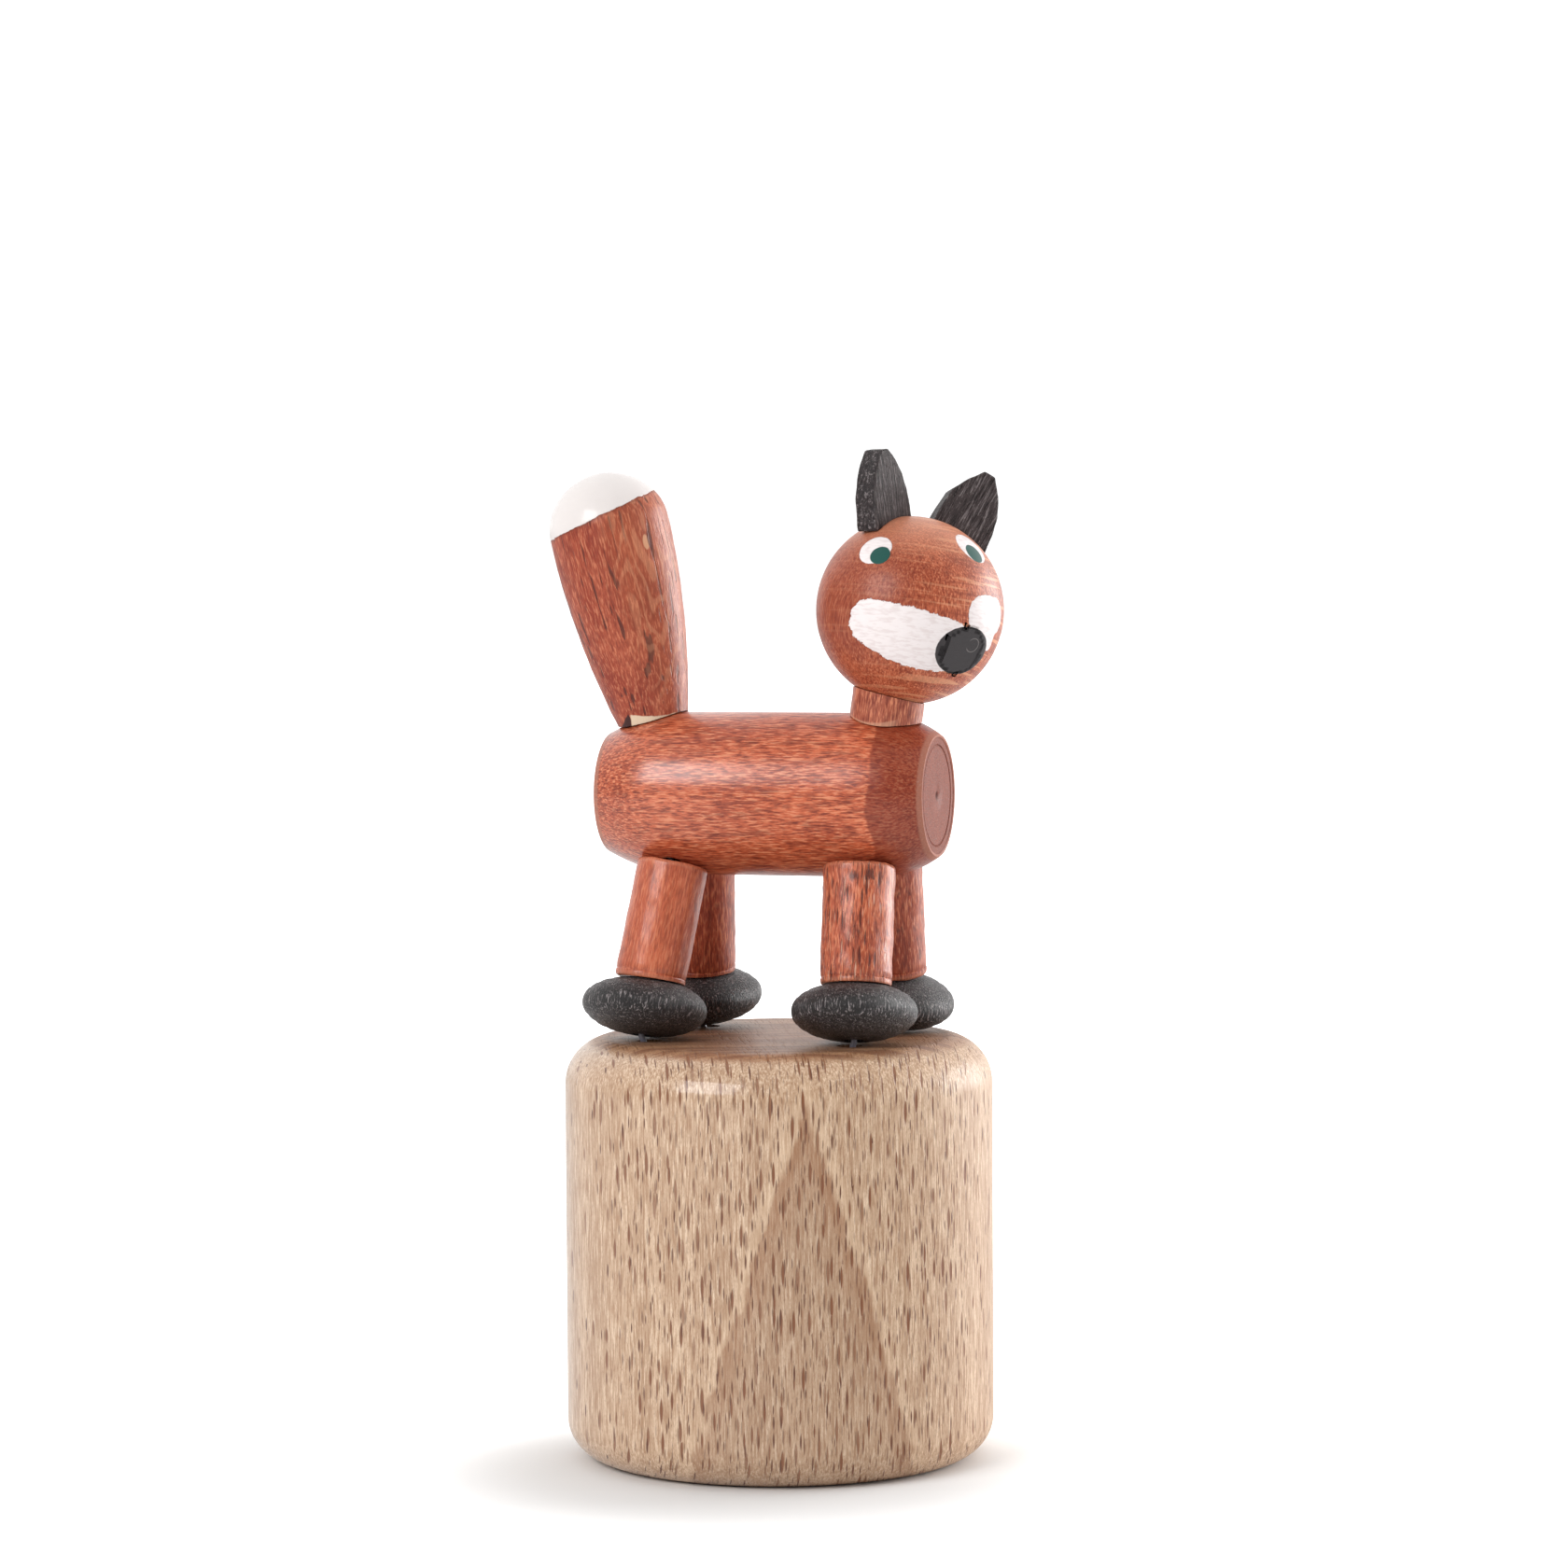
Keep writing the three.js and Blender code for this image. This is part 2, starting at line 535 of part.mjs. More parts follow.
// One thread, from its peg in the button to its end in the head or the tail.
function makeThread(place) {
  const { corner, side, footBottom, footTop, legBottom, legTop, holeAt, pegAt, isFront } = place;
  const aside = new THREE.Vector3(0, (side * THREAD_PAIR_SPACING) / 2, 0);
  const junction = (isFront ? frontJunction : rearJunction).clone().add(aside);
  const tailTop = tailBottom.clone().addScaledVector(tailAxis, TAIL_BORE_DEPTH - THREAD_TURN_IN);
  const lastKnots = isFront ? [neckBottom, neckTop, headCentre] : [tailBottom, tailTop];
  const pegTop = BUTTON_RECESS + PEG_RECESS + PEG_LENGTH;
  const knots = [
    pegAt(pegTop + 2 * PEG_CLEARANCE),
    pegAt(buttonTop + THREAD_TURN_IN),
    holeAt(chamberTop - THREAD_TURN_IN),
    holeAt(BASE_HEIGHT - THREAD_TURN_IN),
    footBottom,
    footTop,
    legBottom,
    legTop,
    junction,
    ...lastKnots.map((knot) => knot.clone().add(aside)),
  ];
  const stops = [knots[0]];
  for (let i = 0; i + 1 < knots.length; i++) {
    const pieces = Math.max(1, Math.round(knots[i].distanceTo(knots[i + 1]) / (4 * THREAD_STEP)));
    for (let k = 1; k <= pieces; k++) {
      stops.push(knots[i].clone().lerp(knots[i + 1], k / pieces));
    }
  }
  const rings = stops.map((stop, i) => {
    const before = stops[Math.max(0, i - 1)];
    const after = stops[Math.min(stops.length - 1, i + 1)];
    const along = after.clone().sub(before).normalize();
    const across = new THREE.Vector3(0, 1, 0).cross(along).normalize();
    const beside = along.clone().cross(across);
    return Array.from({ length: THREAD_SIDES }, (_, k) => {
      const around = (2 * Math.PI * k) / THREAD_SIDES;
      return stop.clone()
        .addScaledVector(across, THREAD_RADIUS * Math.cos(around))
        .addScaledVector(beside, THREAD_RADIUS * Math.sin(around));
    });
  });
  return meshAt(`thread_${corner}`, skinOver(rings), MATERIALS.nylon, new THREE.Matrix4());
}

const fox = new THREE.Group();
fox.add(makeBase(), makeButton(), makeSpring(), makeBody(), makeNeck(), makeHead(), makeTail());
for (const place of legPlaces) {
  fox.add(makeFoot(place), makeLeg(place), makeThread(place));
}

export default fox;
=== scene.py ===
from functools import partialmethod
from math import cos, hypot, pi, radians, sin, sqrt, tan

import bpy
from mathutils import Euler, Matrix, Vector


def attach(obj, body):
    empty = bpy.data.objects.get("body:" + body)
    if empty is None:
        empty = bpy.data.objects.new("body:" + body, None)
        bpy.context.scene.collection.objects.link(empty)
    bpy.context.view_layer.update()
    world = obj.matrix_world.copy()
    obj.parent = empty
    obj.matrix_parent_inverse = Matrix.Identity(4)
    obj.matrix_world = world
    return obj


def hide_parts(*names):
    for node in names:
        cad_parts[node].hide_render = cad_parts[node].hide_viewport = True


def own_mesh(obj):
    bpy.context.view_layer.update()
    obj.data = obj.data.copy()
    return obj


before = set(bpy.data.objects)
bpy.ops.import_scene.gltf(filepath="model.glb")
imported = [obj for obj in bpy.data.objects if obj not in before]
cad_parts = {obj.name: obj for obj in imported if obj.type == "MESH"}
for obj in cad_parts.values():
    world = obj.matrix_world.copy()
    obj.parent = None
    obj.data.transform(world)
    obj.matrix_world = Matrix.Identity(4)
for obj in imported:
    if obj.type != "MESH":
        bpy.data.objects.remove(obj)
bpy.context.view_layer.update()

# %% [markdown]
# # A push-button wooden fox
#
# A fox of strung wooden beads stands on a hollow turned base. Pressing the button under the base lets
# the threads go slack, and the fox buckles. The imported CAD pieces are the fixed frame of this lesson.
# Their sizes stay as they are, and the lesson gives them their wood, stain, paint and light.
# All lengths that are typed here are millimetres, and `MM` turns them into Blender's metres.

MM = 0.001

# %% [markdown]
# ## The camera
#
# A camera can be placed by eye or worked out from the picture. Here it was worked out from the edges of
# the base and of the beads: a long lens 416 mm away, 78.5 mm above the table, looking 3 degrees down.
# The fox stands turned by 17.5 degrees, so the camera goes round it by that angle instead.

# %% Place the camera
VIEW_TURN = radians(17.5)
LOOK_DOWN = radians(3)
CAMERA_ROLL = radians(0.34)
CAMERA_DISTANCE = 416.1
CAMERA_HEIGHT = 78.5
CAMERA_ASIDE = 0.59
FOCAL_LENGTH = 113.786

image_right = Vector((cos(VIEW_TURN), sin(VIEW_TURN), 0))
away = Vector((-sin(VIEW_TURN), cos(VIEW_TURN), 0))
up = Vector((0, 0, 1))


def from_view(across, deep, high):
    """A place given as seen: millimetres to the right, away from the camera, and up."""
    return image_right * across + away * deep + up * high


looking = away * cos(LOOK_DOWN) - up * sin(LOOK_DOWN)
level_up = image_right.cross(looking)
camera_up = level_up * cos(CAMERA_ROLL) + image_right * sin(CAMERA_ROLL)
camera_right = looking.cross(camera_up)
camera_data = bpy.data.cameras.new("camera")
camera_data.sensor_width = 36
camera_data.lens = FOCAL_LENGTH
camera_data.clip_start = 0.01
camera_data.clip_end = 20
camera = bpy.data.objects.new("camera", camera_data)
bpy.context.collection.objects.link(camera)
tripod = from_view(CAMERA_ASIDE, -CAMERA_DISTANCE, CAMERA_HEIGHT)
camera_turn = Matrix((camera_right, camera_up, -looking)).transposed().to_4x4()
camera.matrix_world = Matrix.Translation(tripod * MM) @ camera_turn
bpy.context.scene.camera = camera
print("camera at", [round(v, 4) for v in camera.location], "lens", camera_data.lens)

# %% [markdown]
# ## Floor, backdrop and light
#
# The toy stands on a white sweep in a bright room. The world is white to the camera, and to reflections
# where it is behind the toy. As a light it is dim in front and brighter behind. A large soft lamp at the
# left front gives the broad sheen on body and base, and one behind the right side lights their edges.
# The floor glows white to the camera far from the toy. Near it, round a centre at its left front, the
# glow fades out, so the floor there keeps the rendered shadow and adds a painted shadow.


# %% A class for shader maths
class Number:
    """A number that varies over a surface. Python's operators on it add Math nodes."""

    def __init__(self, finish, socket):
        self.finish, self.socket = finish, socket

    def math(self, operation, *others):
        return self.finish.add("Math", {"operation": operation}, dict(enumerate((self, *others))))

    def after(self, operation, first):
        return self.finish.add("Math", {"operation": operation}, {0: first, 1: self})

    __add__ = __radd__ = partialmethod(math, "ADD")
    __sub__ = partialmethod(math, "SUBTRACT")
    __rsub__ = partialmethod(after, "SUBTRACT")
    __mul__ = __rmul__ = partialmethod(math, "MULTIPLY")
    __truediv__ = partialmethod(math, "DIVIDE")
    __rtruediv__ = partialmethod(after, "DIVIDE")
    __pow__ = partialmethod(math, "POWER")
    __abs__ = partialmethod(math, "ABSOLUTE")
    least = partialmethod(math, "MINIMUM")
    most = partialmethod(math, "MAXIMUM")

    def ramp(self, low, high, start=0.0, end=1.0):
        """A smooth step from start to end while this number goes from low to high."""
        inputs = {0: self, 1: low, 2: high, 3: start, 4: end}
        return self.finish.add("MapRange", {"interpolation_type": "SMOOTHSTEP"}, inputs)

    def output(self, name):
        """Another output of the node that this number comes from."""
        return Number(self.finish, self.socket.node.outputs[name])


# %% A class for a material's node tree
class Finish:
    """One material. add makes any node, and the other methods are short names for common ones."""

    def __init__(self, name, tree=None, **constants):
        if tree is None:
            self.material = bpy.data.materials.new(name)
            self.material.use_nodes = True
            tree = self.material.node_tree
            self.shader = tree.nodes["Principled BSDF"]
        self.tree = tree
        self.set(**constants)

    def add(self, kind, settings=None, inputs=None, output=0):
        node = self.tree.nodes.new("ShaderNode" + kind)
        for setting, value in (settings or {}).items():
            setattr(node, setting, value)
        for socket, value in (inputs or {}).items():
            self.feed(node.inputs[socket], value)
        return Number(self, node.outputs[output])

    def feed(self, socket, value):
        if isinstance(value, Number):
            self.tree.links.new(value.socket, socket)
        else:
            socket.default_value = value

    def set(self, **inputs):
        for socket, value in inputs.items():
            self.feed(self.shader.inputs[socket.replace("_", " ")], value)

    def position(self, centre=(0, 0, 0), turn=(0, 0, 0)):
        """Object coordinates in millimetres, from a centre and along a piece's own axes."""
        place = self.add("TexCoord", output="Object")
        inputs = {0: place, 1: Vector(centre) * MM, 2: Euler(turn), 3: (MM, MM, MM)}
        return self.add("Mapping", {"vector_type": "TEXTURE"}, inputs)

    def split(self, vector):
        parts = self.add("SeparateXYZ", {}, {0: vector})
        return parts, parts.output("Y"), parts.output("Z")

    def combine(self, operation, first, second, output=0):
        return self.add("VectorMath", {"operation": operation}, {0: first, 1: second}, output)

    def stretch(self, vector, x, y, z):
        return self.combine("MULTIPLY", vector, (x, y, z))

    def noise(self, vector, cells, detail=2, roughness=0.5):
        """Noise with so many cells to the millimetre along x, y and z."""
        inputs = {"Scale": 1, "Detail": detail, "Roughness": roughness}
        return self.add("TexNoise", {}, {"Vector": self.stretch(vector, *cells), **inputs})

    def along(self, vector, direction):
        """How far a place lies along a direction."""
        return self.combine("DOT_PRODUCT", vector, direction, "Value")

    def distance(self, vector, place):
        return self.combine("DISTANCE", vector, place, "Value")

    def mix(self, factor, first, second):
        """Two colours mixed by a number."""
        return self.add("Mix", {"data_type": "RGBA"}, {0: factor, 6: first, 7: second}, 2)

    def tint(self, where, red_green_blue):
        """Mixes a colour into shade, which holds the finish's colour so far."""
        self.shade = self.mix(where, self.shade, colour(*red_green_blue))

    def bump(self, height, depth, strength=1.0):
        """A normal from a height of 0 to 1 that stands for so many millimetres."""
        return self.add("Bump", {}, {"Height": height, "Distance": depth * MM, "Strength": strength})


def colour(red, green, blue):
    """A colour written as on a screen, 0 to 255, as Blender's linear values."""
    levels = (level / 255 for level in (red, green, blue))
    return (*(v / 12.92 if v <= 0.04045 else ((v + 0.055) / 1.055) ** 2.4 for v in levels), 1)


print("pale wood is", [round(v, 3) for v in colour(207, 174, 143)], "in linear values")

# %% The world: white to look at, uneven as a light
SKY_FRONT, SKY_BACK = 0.26, 1.15  # behind the camera, and behind the toy
BRIGHTEST_TURN = radians(20)  # from straight behind the toy towards the right
world = bpy.data.worlds.new("room")
world.use_nodes = True
bpy.context.scene.world = world
room = Finish("room", world.node_tree)
path = room.add("LightPath")
brightest = away * cos(BRIGHTEST_TURN) + image_right * sin(BRIGHTEST_TURN)
backwards = room.along(room.add("TexCoord", output="Generated"), brightest)
reflected = path.output("Is Glossy Ray").most(path.output("Is Transmission Ray"))
mirrored = reflected * backwards.ramp(-0.3, 0.1)
level = backwards.ramp(-0.9, 0.5, SKY_FRONT, SKY_BACK).most(path.most(mirrored))
background = world.node_tree.nodes["Background"]
room.feed(background.inputs["Strength"], level)
background.inputs["Color"].default_value = (1, 1, 1, 1)
bpy.context.scene.view_settings.view_transform = "Standard"
print("world as a light:", SKY_FRONT, "to", SKY_BACK)


# %% Soft lamps
def soft_lamp(name, place, size, power, aim=(0, 0, 45)):
    lamp_data = bpy.data.lights.new(name, "AREA")
    lamp_data.shape = "RECTANGLE"
    lamp_data.size, lamp_data.size_y = size[0] * MM, size[1] * MM
    lamp_data.energy = power
    lamp = bpy.data.objects.new(name, lamp_data)
    bpy.context.collection.objects.link(lamp)
    lamp.location = from_view(*place) * MM
    lamp.rotation_euler = (Vector(aim) * MM - lamp.location).to_track_quat("-Z", "Y").to_euler()
    print(name, "at", [round(v, 3) for v in lamp.location], "power", power)


soft_lamp("key_lamp", (-420, -480, 420), (420, 340), 3.4)
soft_lamp("fill_lamp", (555, 300, 115), (460, 380), 4.1)

# %% The floor
bpy.ops.mesh.primitive_plane_add(size=6, location=(0, 0, 0))
floor = bpy.context.object
floor.name = "floor"
paper = Finish("paper", Roughness=0.9, Specular_IOR_Level=0.1, Emission_Strength=1)
paper.set(Base_Color=(0.8, 0.8, 0.8, 1))
camera_sees = paper.add("LightPath")
# painted shadow: near this centre the floor's glow fades out, so the floor greys even where light falls
SHADOW_CENTRE, SHADOW_START, SHADOW_END = from_view(-3, -8, 0), 15, 46
far = paper.distance(paper.position(), tuple(SHADOW_CENTRE)).ramp(SHADOW_START, SHADOW_END, 0, 1)
paper.set(Emission_Color=paper.mix(camera_sees * far, (0, 0, 0, 1), (1, 1, 1, 1)))
floor.data.materials.append(paper.material)

# %% [markdown]
# ## How the wooden pieces are turned
#
# Every piece of this toy but the ears was turned on a lathe. Blender's Spin does the same: a line is
# drawn as an outline of radius and height, and spun round the lathe's axis. A cylinder with bevelled
# edges would be quicker, but it has no room for rims, grooves and slow curves. The piece is then stood
# where the CAD model has it, and seats and bores are cut with Boolean modifiers.

# %% Draw a line, turn a piece, stand it in its place
ROUND = 96  # faces round a small piece


def only(piece):
    bpy.ops.object.select_all(action="DESELECT")
    piece.select_set(True)
    bpy.context.view_layer.objects.active = piece


def edit_all():
    """Opens the active piece for editing, with everything selected."""
    bpy.ops.object.mode_set(mode="EDIT")
    bpy.ops.mesh.select_all(action="SELECT")


def end_editing():
    """Turns every face outwards and closes the piece."""
    bpy.ops.mesh.select_all(action="SELECT")
    bpy.ops.mesh.normals_make_consistent(inside=False)
    bpy.ops.object.mode_set(mode="OBJECT")


def draw(name, points):
    """A line through points in millimetres, left in edit mode."""
    bpy.ops.mesh.primitive_plane_add(size=MM)
    line = bpy.context.object
    line.name = name
    edit_all()
    bpy.ops.mesh.merge(type="CENTER")
    bpy.ops.transform.translate(value=Vector(points[0]) * MM)
    for before, after in zip(points, points[1:]):
        step = (Vector(after) - Vector(before)) * MM
        bpy.ops.mesh.extrude_vertices_move(TRANSFORM_OT_translate={"value": step})
    bpy.ops.mesh.select_all(action="SELECT")
    return line


def turned(name, outline, steps=ROUND):
    """A turned piece that stands on the origin. Its outline is (radius, height) from the bottom up."""
    piece = draw(name, [(radius, 0, height) for radius, height in outline])
    bpy.ops.mesh.spin(steps=steps, angle=2 * pi, center=(0, 0, 0), axis=(0, 0, 1))
    bpy.ops.mesh.select_all(action="SELECT")
    bpy.ops.mesh.remove_doubles(threshold=0.003 * MM)
    end_editing()
    return piece


def settle(piece, origin, turn):
    """Turns a piece, moves it to an origin in millimetres, and puts both in its mesh."""
    only(piece)
    piece.matrix_world = Matrix.Translation(Vector(origin) * MM) @ turn.to_4x4()
    bpy.ops.object.transform_apply(location=True, rotation=True, scale=True)
    return piece


def about(axis, degrees):
    return Matrix.Rotation(radians(degrees), 3, axis)


def stand(piece, origin, axis=(0, 0, 1), roll=0.0):
    """Lays a piece's own Z along an axis, at an origin in millimetres."""
    lean = up.rotation_difference(Vector(axis)).to_matrix()
    return settle(piece, origin, lean @ about("Z", roll))


def copy_of(piece, name):
    copy = piece.copy()
    copy.data = piece.data.copy()
    copy.name = name
    bpy.context.collection.objects.link(copy)
    return copy


def arc(radius, height, size, start, end, steps=10, size_z=None):
    """Points of a round about a centre of the outline, between two angles in degrees."""
    angles = [radians(start + (end - start) * i / steps) for i in range(steps + 1)]
    return [(radius + size * cos(a), height + (size_z or size) * sin(a)) for a in angles]


def apply(piece, kind, **settings):
    """Adds a modifier to a piece and applies it."""
    only(piece)
    modifier = piece.modifiers.new(kind.lower(), kind)
    for setting, value in settings.items():
        setattr(modifier, setting, value)
    bpy.ops.object.modifier_apply(modifier=modifier.name)


def cut(piece, *tools):
    for tool in tools:
        apply(piece, "BOOLEAN", operation="DIFFERENCE", solver="EXACT", object=tool)


def put_away(*tools):
    for tool in tools:
        bpy.data.objects.remove(tool)


def drill(start, end, radius, sides=32):
    """A drill between two points."""
    way = Vector(end) - Vector(start)
    bpy.ops.mesh.primitive_cylinder_add(vertices=sides, radius=radius * MM, depth=way.length * MM)
    return stand(bpy.context.object, (Vector(start) + Vector(end)) / 2, way.normalized())


def finished(piece, body, slot, material, *stands_for, smooth=32):
    """Smooths a piece, gives it its finish and hands it to the CAD body that it moves with."""
    only(piece)
    bpy.ops.object.shade_smooth_by_angle(angle=radians(smooth))
    piece.data.materials.clear()
    piece.data.materials.append(material)
    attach(piece, body)
    if stands_for:
        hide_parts(*stands_for)
    print(piece.name, "has", len(piece.data.polygons), "faces")


# %% [markdown]
# ## Where the beads stand
#
# Each leg leans its own way, and each foot tips a little, because they are only strung. A few numbers
# give each its place, so that each new piece lands on its node. They are the CAD model's, but the feet
# here are a little thicker, closer to the base, and tip another way, as the photograph shows.

# %% Places of feet, legs, body, neck, head and tail
GAP = 0.1  # between a foot and the base
BASE_TOP = 35.5
LEG_GAP = 0.05  # between a foot and the leg on it
HOLE_PULL_IN, PEG_PULL_IN = 0.7, 2.2  # how much nearer the toy's axis a hole and a peg lie than a foot
FOOT_RADIUS, FOOT_HALF_HEIGHT = 5.24, 2.45
LEG_RADIUS, LEG_LENGTH = 2.98, 9.4
BODY_RADIUS, BODY_REAR, BODY_FRONT, BODY_AXIS = 6.87, -15.05, 14.1, 55.87
HEAD_CENTRE, HEAD_RADIUS = Vector((11.7, 0, 71.3)), 7.82
HEAD_TURN, HEAD_ROLL = -30.3, -10
head_matrix = about("Z", HEAD_TURN) @ about("X", HEAD_ROLL)
LEGS = {  # the foot's x and y, then the slopes of leg and foot, forwards and inwards, in degrees
    "front_right": (8.6, -6.4, -1, 12, -3, 13),
    "front_left": (8.2, 6.4, 0.5, 10, 8, 4),
    "rear_right": (-9.7, -6.4, 8.5, 12, 3, 13),
    "rear_left": (-9, 6.4, 4, 12, -2, 5),
}


def slope(forwards, sideways):
    return Vector((tan(radians(forwards)), tan(radians(sideways)), 1)).normalized()


def foot_reach(axis, direction):
    """How far a foot reaches from its centre along a direction."""
    along = axis.dot(direction)
    return hypot(FOOT_HALF_HEIGHT * along, FOOT_RADIUS * sqrt(max(0, 1 - along * along)))


class LegPlace:
    def __init__(self, x, y, lean, splay, foot_lean, foot_splay):
        inward = -1 if y > 0 else 1
        self.leg_axis = slope(lean, inward * splay)
        self.foot_axis = slope(foot_lean, inward * foot_splay)
        self.foot = Vector((x, y, BASE_TOP + GAP + foot_reach(self.foot_axis, up)))
        self.leg_bottom = self.foot + self.leg_axis * (foot_reach(self.foot_axis, self.leg_axis) + LEG_GAP)
        self.leg_top = self.leg_bottom + self.leg_axis * LEG_LENGTH
        self.foot_bottom = self.foot - self.foot_axis * FOOT_HALF_HEIGHT
        self.foot_top = self.foot + self.foot_axis * FOOT_HALF_HEIGHT

    def pulled_in(self, distance, height):
        share = 1 - distance / hypot(self.foot_bottom.x, self.foot_bottom.y)
        return Vector((self.foot_bottom.x * share, self.foot_bottom.y * share, height))


places = {corner: LegPlace(*row) for corner, row in LEGS.items()}
BODY_TOP = BODY_AXIS + BODY_RADIUS
neck_axis, neck_bottom = slope(7, 0), Vector((9.6, -0.5, BODY_TOP - 1.6))
neck_top = neck_bottom + neck_axis * 3
tail_axis, tail_bottom = slope(-13.3, 0), Vector((-10.7, 0, BODY_TOP - 1.7))
junctions = {  # where the threads of two legs meet inside the body
    "front": Vector((neck_bottom.x, 0, BODY_AXIS - 1)),
    "rear": Vector((tail_bottom.x, 0, BODY_AXIS - 1)),
}
print("foot centres:", {corner: tuple(round(v, 2) for v in place.foot) for corner, place in places.items()})

# %% [markdown]
# ## Beech
#
# Beech shows short dark flecks where its rays are cut across. A ray is a thin upright sheet that runs
# out from the heart of the tree, so on one side of a turned piece the flecks are thin, and on the next
# they are wide. A Voronoi texture gives one point to each cell of space. From the way to that point
# a lens shape is worked out, thin across the grain and long along it, in all three directions.


# %% Flecks of a given size
def flecks(finish, spot, cell, reach, seed):
    """Lens-shaped flecks: 1 in their middle and 0 outside. cell is the spacing and reach the half size,
    out from the heart, across, and along the grain."""
    cells = finish.stretch(spot, *(1 / v for v in cell))
    moved = finish.combine("ADD", cells, (seed, 2.3 * seed, 1.7 * seed))
    points = finish.add("TexVoronoi", {}, {"Vector": moved, "Scale": 1}, "Position")
    own = finish.add("SeparateColor", {}, {0: points.output("Color")})
    size = own.ramp(0, 1, 0.6, 1.0)
    way = finish.combine("SUBTRACT", moved, points)
    out, across, along = finish.split(finish.stretch(way, *cell))
    shape = abs(across) / (size * reach[1]) + (along / (size * reach[2])) ** 2 + (out / reach[0]) ** 2
    return shape.ramp(1.0, 0.5), own.output("Green")


# %% The beech of the base, the button and the pegs
HEART_TURN = radians(-65.8)  # the side of the base where the flecks are cut squarely
FIGURE_TOP = 31.8
FIGURE_SLOPE = 0.335


def beech(name, centre=(0, 0, 0), figured=True, end_grain_above=None):
    wood = Finish(name, Specular_IOR_Level=0.4, Coat_Roughness=0.12)
    spot = wood.position(centre, (0, 0, HEART_TURN))
    out, across, along = wood.split(spot)
    fibres = wood.noise(spot, (5.5, 7, 0.45), detail=3, roughness=0.65)
    speckle = wood.noise(spot, (11, 11, 3.5))
    streaks = wood.noise(spot, (0.45, 0.8, 0.05), detail=3)
    wood.shade = colour(209, 178, 149)
    wood.tint(streaks.ramp(0.35, 0.65), (192, 159, 130))
    wood.tint(fibres.ramp(0.48, 0.63, 0, 0.8), (166, 126, 94))
    wood.tint(fibres.ramp(0.46, 0.35, 0, 0.75), (238, 212, 184))
    wood.tint(speckle.ramp(0.5, 0.7, 0, 0.45), (160, 120, 92))
    if figured:  # a pointed arch of darker wood, where the lathe cut through a ring of the tree
        ragged = wood.noise(spot, (0.55, 0.55, 0.3), detail=4)
        rise = along + abs(across) / FIGURE_SLOPE + (18 - out) * 0.9 - FIGURE_TOP + (ragged - 0.5) * 7
        inside = rise.ramp(1.0, -1.0)
        band = inside * rise.ramp(-9, 0)
        halo = (1 - inside) * rise.ramp(5, 0.5)
        low = along.ramp(0, 30, 0.55, 1)
        wood.tint(inside * 0.26, (146, 112, 88))
        wood.tint(band * low * 0.5, (150, 96, 56))
        wood.tint(halo * low * 0.4, (228, 198, 166))
    narrow = abs(across).ramp(12, 16.5, 1, 0.25)  # where the surface would show the rays' flat sides
    big, big_tone = flecks(wood, spot, (2.3, 0.8, 2.7), (narrow * 1.5, 0.18, 1.3), 3.1)
    small, small_tone = flecks(wood, spot, (1.6, 0.55, 1.8), (narrow * 1.1, 0.1, 0.85), 7.7)
    wood.tint(big * big_tone.ramp(0, 1, 0.6, 1.0), (128, 78, 48))
    wood.tint(small * small_tone.ramp(0, 1, 0.4, 1), (100, 58, 38))
    polish = wood.along(wood.position(), tuple(image_right)).ramp(-6, 7, 0.6, 0.06)  # duller on the right
    if end_grain_above is not None:  # the top is cut across, so it is darker and duller
        ends = along.ramp(end_grain_above - 0.6, end_grain_above)
        rings = wood.noise(spot, (1.3, 0.1, 0.1), detail=3)
        pores = wood.noise(spot, (6, 6, 6))
        polish = polish * (1 - ends * 0.85)
        wood.tint(ends * 0.75, (166, 118, 82))
        wood.tint(ends * rings.ramp(0.45, 0.6, 0, 0.8), (126, 84, 60))
        wood.tint(ends * pores.ramp(0.52, 0.66, 0, 0.7), (118, 80, 58))
    wood.set(Base_Color=wood.shade, Roughness=0.34 + fibres * 0.2, Coat_Weight=polish)
    relief = 1 - (big * 0.7).most(small * 0.5) - fibres * 0.4
    wood.set(Normal=wood.bump(relief, 0.08, 0.8))
    print(name, "has", len(wood.tree.nodes), "shader nodes")
    return wood.material

# %% [markdown]
# ## The base, the button and the pegs
#
# The base is turned from one piece of beech and bored from below. Its top is dished by a hair inside a
# fine turned line, which the photographed side shows under the feet. The button is a thick disc with a
# spigot for the spring, and four small pegs hold the ends of the threads in it.

# %% Turn the base and drill the thread holes
BASE_RADIUS, LOW_ROUND, TOP_ROUND = 18, 3.5, 3.9
CHAMBER, CHAMBER_TOP = 12.8, 29.5
THREAD_HOLE = 1.1
chamber = [(0, CHAMBER_TOP), (CHAMBER - 0.3, CHAMBER_TOP), (CHAMBER, CHAMBER_TOP - 0.3)]
mouth = [(CHAMBER, 0.4), (CHAMBER + 0.4, 0)]
dish = [(14.2, 35.47), (13.95, 35.43), (13.7, 35.45), (13.3, 35.47), (9, 35.46), (4, 35.46), (0, 35.46)]
base_outline = (
    chamber + mouth
    + arc(BASE_RADIUS - LOW_ROUND, LOW_ROUND, LOW_ROUND, -90, 0, 14)
    + [(BASE_RADIUS, height) for height in (10, 18, 25)]
    + arc(BASE_RADIUS - TOP_ROUND, BASE_TOP - TOP_ROUND, TOP_ROUND, 0, 84, 16)
    + dish
)
base = turned("turned_base", base_outline, steps=192)
holes = []
for p in places.values():
    hole_low = p.pulled_in(HOLE_PULL_IN, CHAMBER_TOP - 1)
    holes.append(drill(hole_low, p.pulled_in(HOLE_PULL_IN, BASE_TOP + 1), THREAD_HOLE))
cut(base, *holes)
put_away(*holes)

